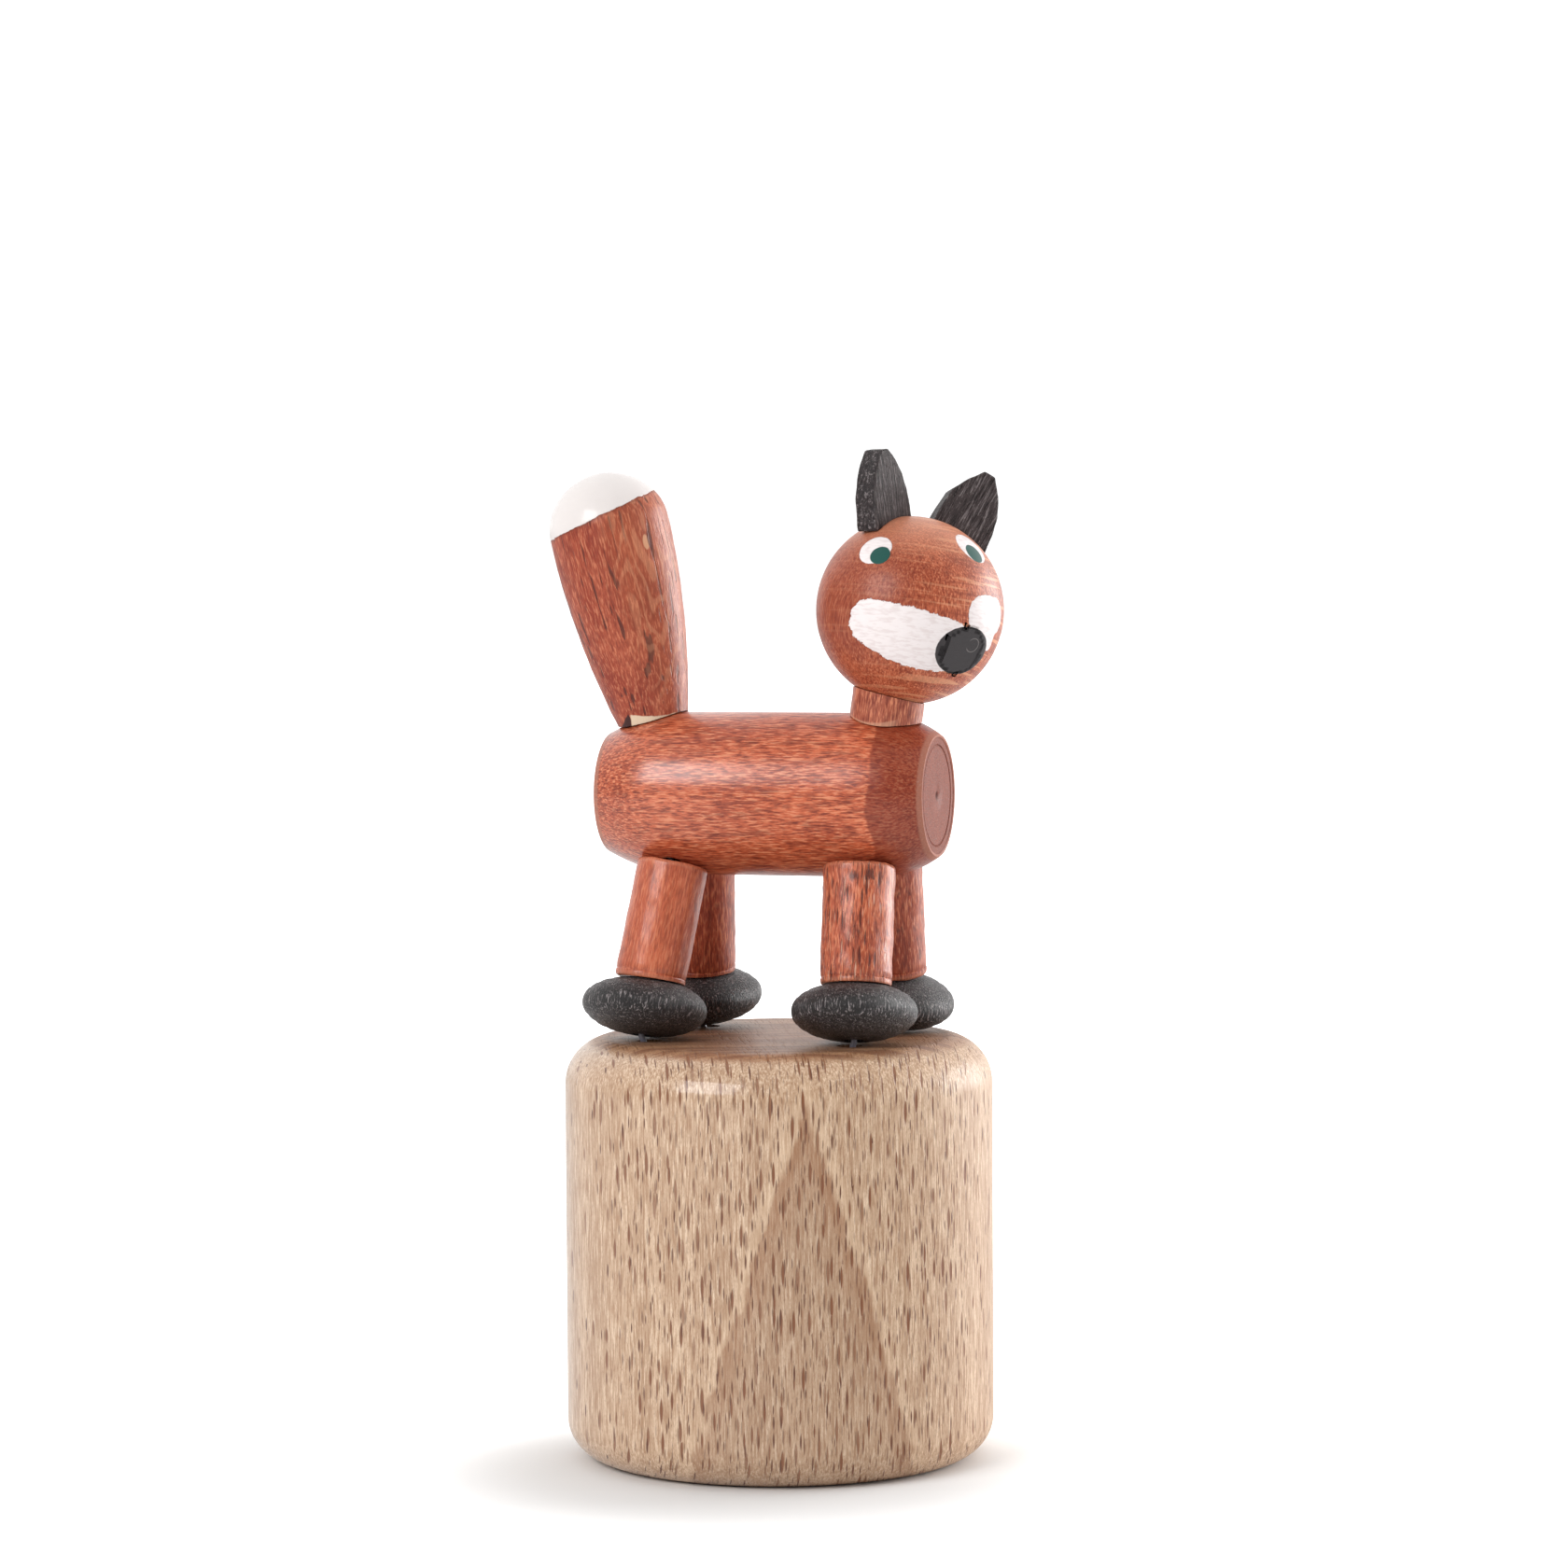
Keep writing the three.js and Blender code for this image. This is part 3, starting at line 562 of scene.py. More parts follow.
# %% Turn the button and cut its holes
BUTTON_RADIUS, BUTTON_LOW, BUTTON_TOP = CHAMBER - 0.3, 1.5, 6.5
button_outline = (
    [(0, BUTTON_LOW), (4, BUTTON_LOW)]
    + arc(BUTTON_RADIUS - 0.6, BUTTON_LOW + 0.6, 0.6, -90, 0, 6)
    + arc(BUTTON_RADIUS - 0.25, BUTTON_TOP - 0.25, 0.25, 0, 90, 3)
    + [(5.2, BUTTON_TOP), (5, BUTTON_TOP + 0.2), (5, BUTTON_TOP + 1.8)]
    + [(4.8, BUTTON_TOP + 2), (0, BUTTON_TOP + 2)]
)
button = turned("turned_button", button_outline, steps=144)
PEG_LOW, PEG_LENGTH = BUTTON_LOW + 0.4, 3
holes = []
for p in places.values():
    for top, radius in ((BUTTON_TOP + 1, 0.7), (PEG_LOW + PEG_LENGTH + 0.1, 1.1)):
        holes.append(drill(p.pulled_in(PEG_PULL_IN, 0), p.pulled_in(PEG_PULL_IN, top), radius, sides=24))
cut(button, *holes)
put_away(*holes)

# %% Finish the base and the button
finished(base, "base", "beech", beech("beech_base", end_grain_above=35.35), "base")
finished(button, "button", "beech", beech("beech_button", centre=(30, 12, 5), figured=False), "push_button")

# %% One peg, copied four times
peg_outline = [(0, 0), (0.9, 0), (1, 0.1), (1, PEG_LENGTH - 0.15), (0.85, PEG_LENGTH), (0, PEG_LENGTH)]
peg_pattern = turned("peg", peg_outline, steps=32)
for index, (corner, p) in enumerate(places.items()):
    peg_place = p.pulled_in(PEG_PULL_IN, PEG_LOW)
    peg = stand(copy_of(peg_pattern, "turned_peg_" + corner), peg_place, roll=40 * index)
    wood = beech("beech_peg_" + corner, centre=(20 + 9 * index, 7, 3), figured=False)
    finished(peg, "button", "beech", wood, "thread_peg_" + corner)
put_away(peg_pattern)

# %% [markdown]
# ## Stained wood
#
# Body, neck, head, legs and tail are dyed red-brown and lacquered. The dye gathers in the pores, so the
# grain shows as short dark and light dashes along each piece. Every piece was cut from its own stick,
# so every piece has its own axis and its own place in the pattern.


# %% Red-brown stain along a piece's own axis
def along_axis(axis):
    """The turn that lays a pattern's own Z along an axis."""
    return tuple(up.rotation_difference(Vector(axis).normalized()).to_euler())


class Stain(Finish):
    """Red-brown wood. shade is its colour so far, and height its relief, until lay sets both."""

    DARK, LIGHT = (106, 36, 22), (226, 146, 108)

    def __init__(self, name, centre, axis, tone, grain=1.0, seed=0.0, coat=0.1):
        super().__init__(name, Specular_IOR_Level=0.35, Coat_Weight=coat, Coat_Roughness=0.14)
        self.own = self.position(centre, along_axis(axis))
        self.spot = self.combine("ADD", self.own, (seed, 3 * seed, 0))
        spot_x, spot_y, spot_z = self.split(self.spot)
        turned_spot = {0: spot_y, 1: spot_x, 2: spot_z}
        self.radial = self.add("CombineXYZ", {}, turned_spot)  # turns flecks edgewise to the camera
        self.fine = self.noise(self.spot, (7.5, 7.5, 1.0), roughness=0.6)
        coarse = self.noise(self.spot, (3, 3, 0.45), detail=3, roughness=0.6)
        cloud = self.noise(self.spot, (0.35, 0.35, 0.2), detail=3)
        darker = self.mix(0.3, colour(*tone), colour(*self.DARK))
        lighter = self.mix(0.15, colour(*tone), colour(*self.LIGHT))
        self.shade = self.mix(cloud.ramp(0.3, 0.7), darker, lighter)
        self.tint(self.fine.ramp(0.5, 0.66, 0, 0.8 * grain), self.DARK)
        self.tint(self.fine.ramp(0.5, 0.34, 0, 0.8 * grain), self.LIGHT)
        self.tint(coarse.ramp(0.5, 0.66, 0, 0.55 * grain), self.DARK)
        self.height = 1 - self.fine * 0.6 - coarse * 0.4
        self.gloss = 0.3 + self.fine * 0.2

    def blotch(self, strength, size=1.1):
        spots = self.noise(self.spot, (size, size, size / 2), detail=4, roughness=0.65)
        self.tint(spots.ramp(0.55, 0.7, 0, strength), (86, 32, 24))

    def open_pores(self, strength):
        marks = self.noise(self.spot, (2.3, 2.3, 0.14), roughness=0.4)
        marks = marks.ramp(0.615, 0.665)
        self.tint(marks * strength, (70, 26, 22))
        self.height = self.height - marks * 0.9

    def over_body(self):
        """A place's x and y, and how far it lies outside the body's round."""
        x, y, z = self.split(self.position())
        return x, y, (y ** 2 + (z - BODY_AXIS) ** 2) ** 0.5 - BODY_RADIUS

    def rims(self, length, strength):
        """The dye is thin on the sharp ends of a dowel."""
        _, _, high = self.split(self.own)
        self.tint(abs(high).ramp(length / 2 - 0.45, length / 2 - 0.12) * strength, (206, 136, 104))

    def lay(self, depth=0.05, strength=0.8):
        self.set(Base_Color=self.shade, Roughness=self.gloss)
        self.set(Normal=self.bump(self.height, depth, strength))
        print(self.material.name, "has", len(self.tree.nodes), "shader nodes")
        return self.material


# %% [markdown]
# ## The body
#
# Both ends of the barrel are drawn in to a flat face, with a fine rim and a ring that the lathe's centre
# left. The front end is darker, past a wavy line round the body.

# %% Turn the body and drill it
BODY_LENGTH = BODY_FRONT - BODY_REAR
BODY_BORE = 1
FACE_RADIUS = 5.1


def bow(start, pull, end, steps, first=0):
    """Points of a curve between two places that leans towards a third."""
    shares = [i / steps for i in range(first, steps + 1)]
    return [start * (1 - t) ** 2 + pull * 2 * t * (1 - t) + end * t * t for t in shares]


def drawn_in(taper, bulge, grown):
    """The outline of an end, from the full radius to the rim of its face at height 0."""
    start, end = Vector((BODY_RADIUS + grown, taper - grown)), Vector((FACE_RADIUS + grown, -grown))
    middle = (start + end) / 2 + Vector((bulge, -bulge))
    curve = bow(start, middle, end, 16, first=5)
    softened = bow(start + Vector((0, 1.6)), start, curve[0], 10)[:-1]
    return [tuple(point) for point in softened + curve]


REAR_CUT = 0.5  # the rear face is turned back by this much
FACE = [(5.0, 0), (4.9, 0.02), (4.8, 0.1), (4.3, 0.13), (4.22, 0.23), (4.1, 0.15), (2, 0.12), (0.5, 0.12),
        (0.25, 0.25), (0, 0.4)]  # radius and depth, from the rim to the mark of the lathe's centre


def body_outline(grown=0.0, face=FACE):
    """The barrel's outline from its rear face, grown on every side by a clearance."""
    rear = [(radius, height + REAR_CUT) for radius, height in drawn_in(5, 0.3, grown)]
    front = [(radius, BODY_LENGTH - height) for radius, height in drawn_in(4.6, 0.5, grown)]
    sides = [(BODY_RADIUS + grown, height) for height in (10, 15, 20)]
    rear_face = [(radius, REAR_CUT + depth - grown) for radius, depth in face]
    front_face = [(radius, BODY_LENGTH - depth + grown) for radius, depth in face]
    return rear_face[::-1] + rear[::-1] + sides + front + front_face


body = stand(turned("turned_body", body_outline(), steps=144), (BODY_REAR, 0, BODY_AXIS), (1, 0, 0))
ways = []
for corner, p in places.items():
    junction = junctions[corner.split("_")[0]]
    past = junction + (junction - p.leg_top).normalized() * 1.4
    ways += [(p.leg_top - p.leg_axis * 3.4, p.leg_top), (p.leg_top, past)]
ways.append((junctions["front"], neck_bottom + neck_axis * 3.2))
ways.append((junctions["rear"], tail_bottom + tail_axis * 3.4))
bores = [drill(*way, BODY_BORE) for way in ways]
cut(body, *bores)
put_away(*bores)

# %% Stain the body
DARK_FRONT_EDGE = 9.9  # the front end is darker from this x on
stain = Stain("stain_body", (0, 0, BODY_AXIS), (1, 0, 0), (200, 92, 56))
stain.blotch(0.1, 0.7)
place = stain.position()
body_x, _, over_body = stain.over_body()
wave = stain.noise(place, (0.3, 0.3, 0.3))
# a darker front end, past a wavy line round the body
darker_front = (body_x + (wave - 0.5) * 1.4).ramp(DARK_FRONT_EDGE - 0.15, DARK_FRONT_EDGE + 0.15)
stain.tint(darker_front * 0.62, (112, 38, 24))
rear = BODY_REAR + REAR_CUT
face = body_x.ramp(BODY_FRONT - 0.5, BODY_FRONT - 0.3).most(body_x.ramp(rear + 0.5, rear + 0.3))
from_axis = over_body + BODY_RADIUS
grit = stain.noise(place, (9, 9, 9), detail=3)
stain.tint(face * grit.ramp(0.4, 0.62, 0.3, 0.8), (110, 60, 46))
stain.tint(face * grit.ramp(0.6, 0.7, 0, 0.5), (180, 140, 130))
stain.tint(face * from_axis.ramp(4.84, 4.94) * 0.5, (190, 130, 108))
stain.tint(face * from_axis.ramp(0.5, 0.25), (92, 40, 30))
stain.gloss = 0.26 + stain.fine * 0.16 + face * 0.4
stain.set(Coat_Weight=body_x.ramp(-8, 3, 0.75, 0.1), Coat_Roughness=0.2)
finished(body, "torso", "stained_wood", stain.lay(), "body")

# %% [markdown]
# ## Legs, neck and tail
#
# The legs are one dowel, copied four times. Their tops and the ends of neck and tail are cut to the
# round of the body, a hair's breadth away, because the real ones settle there. A Displace modifier with
# a soft cloud texture takes the machine-made look from the dowels.

# %% Clearances and a hand-made waver
body_space = turned("body_space", body_outline(grown=0.12, face=[(0, 0)]), steps=192)
stand(body_space, (BODY_REAR, 0, BODY_AXIS), (1, 0, 0))
waver = bpy.data.textures.new("waver", "CLOUDS")
waver.noise_scale = 1.6 * MM


def by_hand(piece, depth):
    apply(piece, "DISPLACE", texture=waver, texture_coords="LOCAL", strength=depth * MM, mid_level=0.5)


def dowel(radius, bore, length, edge=0.35, groove=True):
    low = [(bore, 0)] + arc(radius - edge, edge, edge, -90, 0, 5)
    low += [(radius, 0.55), (radius - 0.07, 0.65), (radius - 0.01, 0.78)] if groove else []
    side = [(radius, 1.2 + (length - 2) * i / 14) for i in range(15)]
    outline = low + side + arc(radius - edge, length - edge, edge, 0, 90, 5) + [(bore, length)]
    return outline + outline[:1]


# %% Four legs
flank = [90 * i / 20 for i in range(21)]
POWER = 2.1  # 2 would be an ellipse, and more makes the rim blunter


def lens(grown=0.0):
    """A foot's flank from its rim to its top, grown by a clearance."""
    rounds = [(cos(radians(a)) ** (2 / POWER), sin(radians(a)) ** (2 / POWER)) for a in flank]
    return [(max(0, (FOOT_RADIUS + grown) * r), (FOOT_HALF_HEIGHT + grown) * h) for r, h in rounds]


space = lens(0.12)
space[-1] = (0, space[-1][1])
foot_space_pattern = turned("foot_space", [(r, -h) for r, h in reversed(space[1:])] + space, steps=96)
leg_pattern = turned("leg", dowel(LEG_RADIUS, 0.5, LEG_LENGTH + 0.75), steps=72)
LEG_LOOKS = {  # strength and size of the blotches, how torn and how strong the grain is, and the lacquer
    "front_right": (0.7, 1.5, 0.16, 0.9, 0.3), "front_left": (0.75, 1.1, 0.08, 0.8, 0),
    "rear_right": (0.45, 0.8, 0.04, 0.5, 0.35), "rear_left": (0.5, 0.8, 0.04, 0.8, 0),
}
for index, (corner, p) in enumerate(places.items()):
    blotches, size, torn, grain, coat = LEG_LOOKS[corner]
    leg_foot = p.leg_bottom - p.leg_axis * 0.4
    leg = stand(copy_of(leg_pattern, "turned_leg_" + corner), leg_foot, p.leg_axis, roll=77 * index)
    by_hand(leg, 0.1 + torn)
    foot_space = stand(copy_of(foot_space_pattern, "foot_space"), p.foot, p.foot_axis)
    cut(leg, body_space, foot_space)
    put_away(foot_space)
    middle = (p.leg_bottom + p.leg_top) / 2
    # The legs on the left, which are not lacquered, get a darker tone: painted shade for the toy's far
    # side.
    tone = (194, 92, 58) if coat else (172, 76, 46)
    stain = Stain("stain_leg_" + corner, middle, p.leg_axis, tone, grain, seed=1.7 * index, coat=coat)
    stain.blotch(blotches, size)
    if torn > 0.1:
        tears, tones = flecks(stain, stain.radial, (1.2, 0.4, 1.9), (0.8, 0.1, 0.95), 2.2)
        stain.tint(tears * tones.ramp(0.35, 0.7, 0, 0.9), (84, 34, 26))
        stain.tint(tears * tones.ramp(0.35, 0.1, 0, 0.7), (230, 176, 150))
        stain.height = stain.height - tears * 1.4
        for knot in ((8.87, -7.1, 49.6), (10.1, -6.6, 49.75)):
            ragged = (stain.fine - 0.5) * 1.6
            near = stain.distance(stain.position(), knot) + ragged
            stain.tint(near.ramp(0.5, 0.3, 0, 0.8), (66, 26, 22))
    stain.rims(LEG_LENGTH + 0.5, 0.3)
    finished(leg, "leg_" + corner, "stained_wood", stain.lay(0.06 + torn / 2), "leg_" + corner)
put_away(leg_pattern, foot_space_pattern)

# %% The neck
NECK_RADIUS, NECK_BORE, NECK_LENGTH = 3.03, 0.95, 4.6
neck = turned("turned_neck", dowel(NECK_RADIUS, NECK_BORE, NECK_LENGTH, groove=False))
stand(neck, neck_bottom, neck_axis)
by_hand(neck, 0.1)
bpy.ops.mesh.primitive_uv_sphere_add(segments=96, ring_count=48, radius=(HEAD_RADIUS + 0.08) * MM)
head_space = stand(bpy.context.object, HEAD_CENTRE)
cut(neck, body_space, head_space)
neck_middle = neck_bottom + neck_axis * NECK_LENGTH / 2
stain = Stain("stain_neck", neck_middle, neck_axis, (170, 88, 64), grain=0.9, seed=9)
stain.blotch(0.3)
neck_x, _, over_body = stain.over_body()
stain.tint(over_body.ramp(0.32, 0.16, 0, 0.5) * neck_x.ramp(11.8, 10.8), (214, 164, 134))
finished(neck, "neck", "stained_wood", stain.lay(), "neck")

# %% The tail
TAIL_RADIUS, TAIL_LOW_RADIUS, TAIL_WIDEST, TAIL_LENGTH = 5.1, 2.75, 17.6, 22.4
shaft = [TAIL_WIDEST * i / 22 for i in range(23)]
shaft = [(TAIL_RADIUS - (TAIL_RADIUS - TAIL_LOW_RADIUS) * (1 - h / TAIL_WIDEST) ** 2, h) for h in shaft]
round_tip = arc(0, TAIL_WIDEST, TAIL_RADIUS, 4, 90, 22, size_z=TAIL_LENGTH - TAIL_WIDEST)
round_tip[-1] = (0, TAIL_LENGTH)
tail = stand(turned("turned_tail", [(0, 0)] + shaft + round_tip), tail_bottom, tail_axis)
by_hand(tail, 0.12)
tail_bore = drill(tail_bottom - tail_axis, tail_bottom + tail_axis * 12, 0.9)
cut(tail, body_space, tail_bore)
put_away(body_space, head_space, tail_bore)

# %% Stain the tail and dip its tip in white
TIP_NORMAL = (-0.4167, -0.1314, 0.9)  # the tail was dipped slanting
TIP_LINE = 77.8
tail_middle = tail_bottom + tail_axis * 11
stain = Stain("stain_tail", tail_middle, tail_axis, (156, 58, 34), grain=0.55, seed=4, coat=0)
stain.blotch(0.25)
stain.open_pores(0.8)
side_x, side_y, _ = stain.split(stain.own)
waves = stain.noise(stain.own, (0.4, 0.4, 0.1), detail=1) * 60
sunlit = (side_x * 0.95 - side_y * 0.3).ramp(1.5, 4.2)
stain.tint(sunlit * 0.12, (222, 150, 112))
stain.tint(waves.math("SINE").ramp(0.2, 0.9, 0, 0.3) * sunlit, (222, 156, 118))
CHIP = Vector((-10.6, -3.0, 77.1))  # a splinter came off here after the dyeing
chip_x, chip_y, chip_z = stain.split(stain.position(CHIP, along_axis(tail_axis)))
chip = (chip_x ** 2 + chip_y ** 2) ** 0.5 / 0.42 + (chip_z / 1.1) ** 2
stain.tint(chip.ramp(1.0, 0.8, 0, 0.8), (220, 168, 130))
lip = (chip_x - 0.42) ** 2 / 0.02 + chip_z ** 2
stain.tint(lip.ramp(1.0, 0.6, 0, 0.8) * chip_y.ramp(1, 0), (92, 38, 28))
place = stain.position()
tail_x, tail_y, over_body = stain.over_body()
rag = stain.noise(place, (1.4, 1.4, 1.4), detail=3)
wedge = over_body - tail_x.ramp(-12, -7.4, 0.5, 0.08) + (rag - 0.5) * 0.25
stain.tint(wedge.ramp(0.06, -0.06) * tail_x.ramp(-12, -11.85) * tail_y.ramp(0, -1), (222, 200, 172))
# A dark notch where the tail's back edge sits on the body: painted shade in the recess.
shaded_notch = over_body + abs(tail_x + 12.15) * 1.6 - 0.55 + (rag - 0.5) * 0.3
stain.tint(shaded_notch.ramp(0.1, -0.1) * tail_x.ramp(-11.85, -12) * tail_y.ramp(0, -1), (58, 22, 18))
rise = stain.along(place, TIP_NORMAL) + (rag - 0.5) * 0.45
tip = rise.ramp(TIP_LINE - 0.03, TIP_LINE + 0.03)
stain.tint(rise.ramp(TIP_LINE - 0.3, TIP_LINE - 0.05, 0, 0.5), (96, 42, 30))
stain.tint(tip, (226, 219, 216))
stain.height = (1 - tip) * stain.height + tip * 1.8
stain.gloss = stain.gloss * (1 - tip) + tip * 0.2
finished(tail, "tail", "stained_wood", stain.lay(), "tail")

# %% [markdown]
# ## The painted head
#
# The head is a ball, filed flat where the nose is. The face is painted by hand on the stained wood: two
# white cheeks, two white eyes with green irises, and the nose in black. Paint could be thin shells of
# mesh. Here each patch is a distance worked out in the head's own axes, so its edge stays sharp, and a
# little noise makes it ragged.

# %% The ball and the filed nose
bpy.ops.mesh.primitive_uv_sphere_add(segments=128, ring_count=80, radius=HEAD_RADIUS * MM)
head = bpy.context.object
head.name = "turned_head"
NOSE_PITCH, NOSE_RADIUS = radians(26), 2.1
nose_axis = Vector((cos(NOSE_PITCH), 0, -sin(NOSE_PITCH)))
NOSE_FLAT = sqrt(HEAD_RADIUS ** 2 - NOSE_RADIUS ** 2)  # how far from the centre the nose is filed
edit_all()
file_place = nose_axis * NOSE_FLAT * MM
bpy.ops.mesh.bisect(plane_co=file_place, plane_no=nose_axis, use_fill=True, clear_outer=True)
bpy.ops.mesh.bevel(offset=0.12 * MM, segments=3, affect="EDGES")
bpy.ops.object.mode_set(mode="OBJECT")
settle(head, HEAD_CENTRE, head_matrix)
bore_axis = (HEAD_CENTRE - neck_top).normalized()
head_bore = drill(HEAD_CENTRE - bore_axis * 9, HEAD_CENTRE + bore_axis * 1.2, 1.3)
cut(head, head_bore)
put_away(head_bore)

# %% Stain with growth rings, painted shade and highlight, and helpers that paint
HEAD_GRAIN = (0.2, -0.15, 1)
stain = Stain("stain_head", HEAD_CENTRE, HEAD_GRAIN, (184, 88, 56), grain=0.8, seed=6, coat=0.05)
stain.blotch(0.15)
face = stain.position(HEAD_CENTRE, tuple(head_matrix.to_euler()))
_, face_y, face_z = stain.split(face)
layers = stain.noise(face, (0.1, 0.16, 3.6), detail=1, roughness=0.5)
right_half = face_y.ramp(-6, 2, 0.25, 1) * face_y.ramp(4, 7.5, 1, 0.4)
stain.tint(layers.ramp(0.56, 0.64, 0, 0.75) * right_half, (224, 158, 118))
stain.tint(layers.ramp(0.42, 0.34, 0, 0.5) * right_half, (122, 48, 32))
# painted shade: the head is darker towards its -y side
stain.tint(face_y.ramp(-3, -7.5, 0, 0.5), (126, 50, 28))
# painted highlight: the top of the head is lighter
stain.tint(face_z.ramp(3, 7, 0, 0.5), (218, 152, 120))


def on_head(azimuth, elevation, right=0, high=0):
    """A point of the ball, given by its angles and by steps sideways and up from there."""
    a, e = radians(azimuth), radians(elevation)
    out = Vector((cos(a) * cos(e), sin(a) * cos(e), sin(e)))
    side = Vector((-sin(a), cos(a), 0))
    rise = out.cross(side)
    point = out * HEAD_RADIUS + side * right + rise * high
    return point.normalized() * HEAD_RADIUS, side, rise


wobble = stain.noise(face, (2.2, 2.2, 2.2), detail=3, roughness=0.65)


def dab(azimuth, elevation, right, high, radius, rough=0.12):
    """A round dab of paint: 1 inside, 0 outside."""
    point, _, _ = on_head(azimuth, elevation, right, high)
    gap = stain.distance(face, point) - radius + (wobble - 0.5) * rough
    return gap.ramp(0.03, -0.03)


def stroke(azimuth, elevation, start, end, start_radius, end_radius, swell, rough):
    """A brush stroke between two points of the tangent plane, rounder in its middle by swell."""
    out, side, rise = on_head(azimuth, elevation)
    across, high = stain.along(face, side), stain.along(face, rise)
    reach = Vector(end) - Vector(start)
    dx, dy = across - start[0], high - start[1]
    share = ((dx * reach.x + dy * reach.y) / reach.length_squared).most(0).least(1)
    gap_x, gap_y = dx - share * reach.x, dy - share * reach.y
    gap = (gap_x ** 2 + gap_y ** 2) ** 0.5
    radius = start_radius + share * (end_radius - start_radius) + share * (1 - share) * 4 * swell
    front = stain.along(face, out).ramp(0, 0.5)
    return (gap - radius + (wobble - 0.5) * rough).ramp(0.03, -0.03) * front


# %% Paint the face
cheek_right = stroke(-51.1, -19.3, (-2.0, 0.35), (3.6, -1.1), 2.0, 2.35, 0.3, 0.7)
cheek_left = stroke(12.1, -1.5, (-0.75, 0.0), (0.9, 0.1), 1.6, 1.65, 0.1, 0.4)
cheek_left = cheek_left.most(stroke(12.1, -1.5, (0.5, -0.5), (1.3, -2.2), 1.2, 0.5, 0, 0.2))
eyes = dab(-74.9, 31.4, 0.05, -0.03, 1.45).most(dab(4.8, 40.3, 0.33, 0.5, 1.58))
irises = dab(-68.8, 27.1, 0, 0, 0.88, 0.06).most(dab(6.2, 37.9, 0.12, 0.15, 0.93, 0.06))
nose_high = stain.along(face, Vector((sin(NOSE_PITCH), 0, cos(NOSE_PITCH))))
nose = ((face_y / 2.7) ** 2 + (nose_high / 2.16) ** 2) ** 0.5 + (wobble - 0.5) * 0.04
nose = nose.ramp(1.01, 0.99) * stain.along(face, nose_axis).ramp(6, 6.2)
white = cheek_right.most(cheek_left).most(eyes)
brushed = stain.noise(face, (1.2, 1.2, 5), detail=3)
stain.tint(white, (240, 231, 230))
stain.tint(white * brushed.ramp(0.45, 0.65, 0, 0.5), (216, 200, 198))
stain.tint(irises, (16, 78, 70))
stain.tint(nose, (50, 45, 47))
scratch = stain.distance(face, on_head(6, -21)[0]) - 0.62  # part of a ring
stain.tint(nose * abs(scratch).ramp(0.06, 0.02) * face_y.ramp(0.2, 0.4) * 0.6, (128, 122, 120))
paint = white.most(irises).most(nose)
stain.height = stain.height * (1 - paint) + paint * (1.8 + brushed * 0.3)
stain.gloss = stain.gloss * (1 - paint) + paint * 0.38
finished(head, "head", "stained_wood", stain.lay(), "head")

# %% [markdown]
# ## Blackened wood
#
# Feet and ears are dyed brown-black and left dull. Fine pale streaks run along the grain: painted glints
# on the raised fibres, where the dye is also thinner.


# %% Brown-black stain
FOOT_LOOK = (0.85, (7.5, 7.5, 1.0), 0.5, (23, 17, 17))  # strength of the painted glints, size of the streaks, gloss and tone
EAR_LOOK = (0.4, (6.5, 6.5, 0.5), 0.15, (66, 57, 57))
EAR_EDGE_LOOK = (0.45, (4, 4, 3), 0.3, (48, 41, 42))


def blackened(name, centre, axis, seed, look):
    glint_strength, streak, gloss, tone = look
    wood = Finish(name, Specular_IOR_Level=gloss)
    spot = wood.combine("ADD", wood.position(centre, along_axis(axis)), (seed, 2 * seed, 0))
    fibre = wood.noise(spot, streak, detail=3, roughness=0.7)
    speck = wood.noise(spot, (8, 8, 3))
    wood.shade = colour(*tone)
    # painted glints: pale streaks on the raised fibres, where the dye is also thinner
    wood.tint(fibre.ramp(0.54, 0.66, 0, glint_strength), (172, 162, 162))
    wood.tint(fibre.ramp(0.48, 0.38, 0, 0.8), (10, 6, 6))
    wood.tint(speck.ramp(0.62, 0.72, 0, 0.35), (160, 150, 148))
    wood.set(Base_Color=wood.shade, Roughness=0.5 - 0.4 * gloss + fibre * 0.2, Normal=wood.bump(fibre, 0.2))
    return wood.material


# %% Four feet
FOOT_BORE = 0.8
RIDGES, RIDGE_DEPTH = range(6, 19, 3), 0.05  # which points of the flank the lathe's tool pressed in
upper = [(r, h - RIDGE_DEPTH * (i in RIDGES)) for i, (r, h) in enumerate(lens()) if r > FOOT_BORE + 0.05]
upper.append((FOOT_BORE, upper[-1][1]))
foot_outline = [(r, -h) for r, h in reversed(upper[1:])] + upper
foot_pattern = turned("foot", foot_outline + foot_outline[:1], steps=96)
for index, (corner, p) in enumerate(places.items()):
    foot = stand(copy_of(foot_pattern, "turned_foot_" + corner), p.foot, p.foot_axis, roll=50 * index)
    by_hand(foot, 0.08)
    wood = blackened("black_foot_" + corner, p.foot, p.foot_axis, 2.1 * index, FOOT_LOOK)
    finished(foot, "foot_" + corner, "black_wood", wood, "foot_" + corner, smooth=40)
put_away(foot_pattern)

# %% [markdown]
# ## The ears
#
# The ears are the only pieces that weren't turned: flat slips of wood, sawn to a pointed arch and glued
# on. A square is extruded upwards row by row, and each row is made smaller. Bevelled edges and the same
# waver as before keep them from looking stamped. A ball cuts their feet to the round of the head.

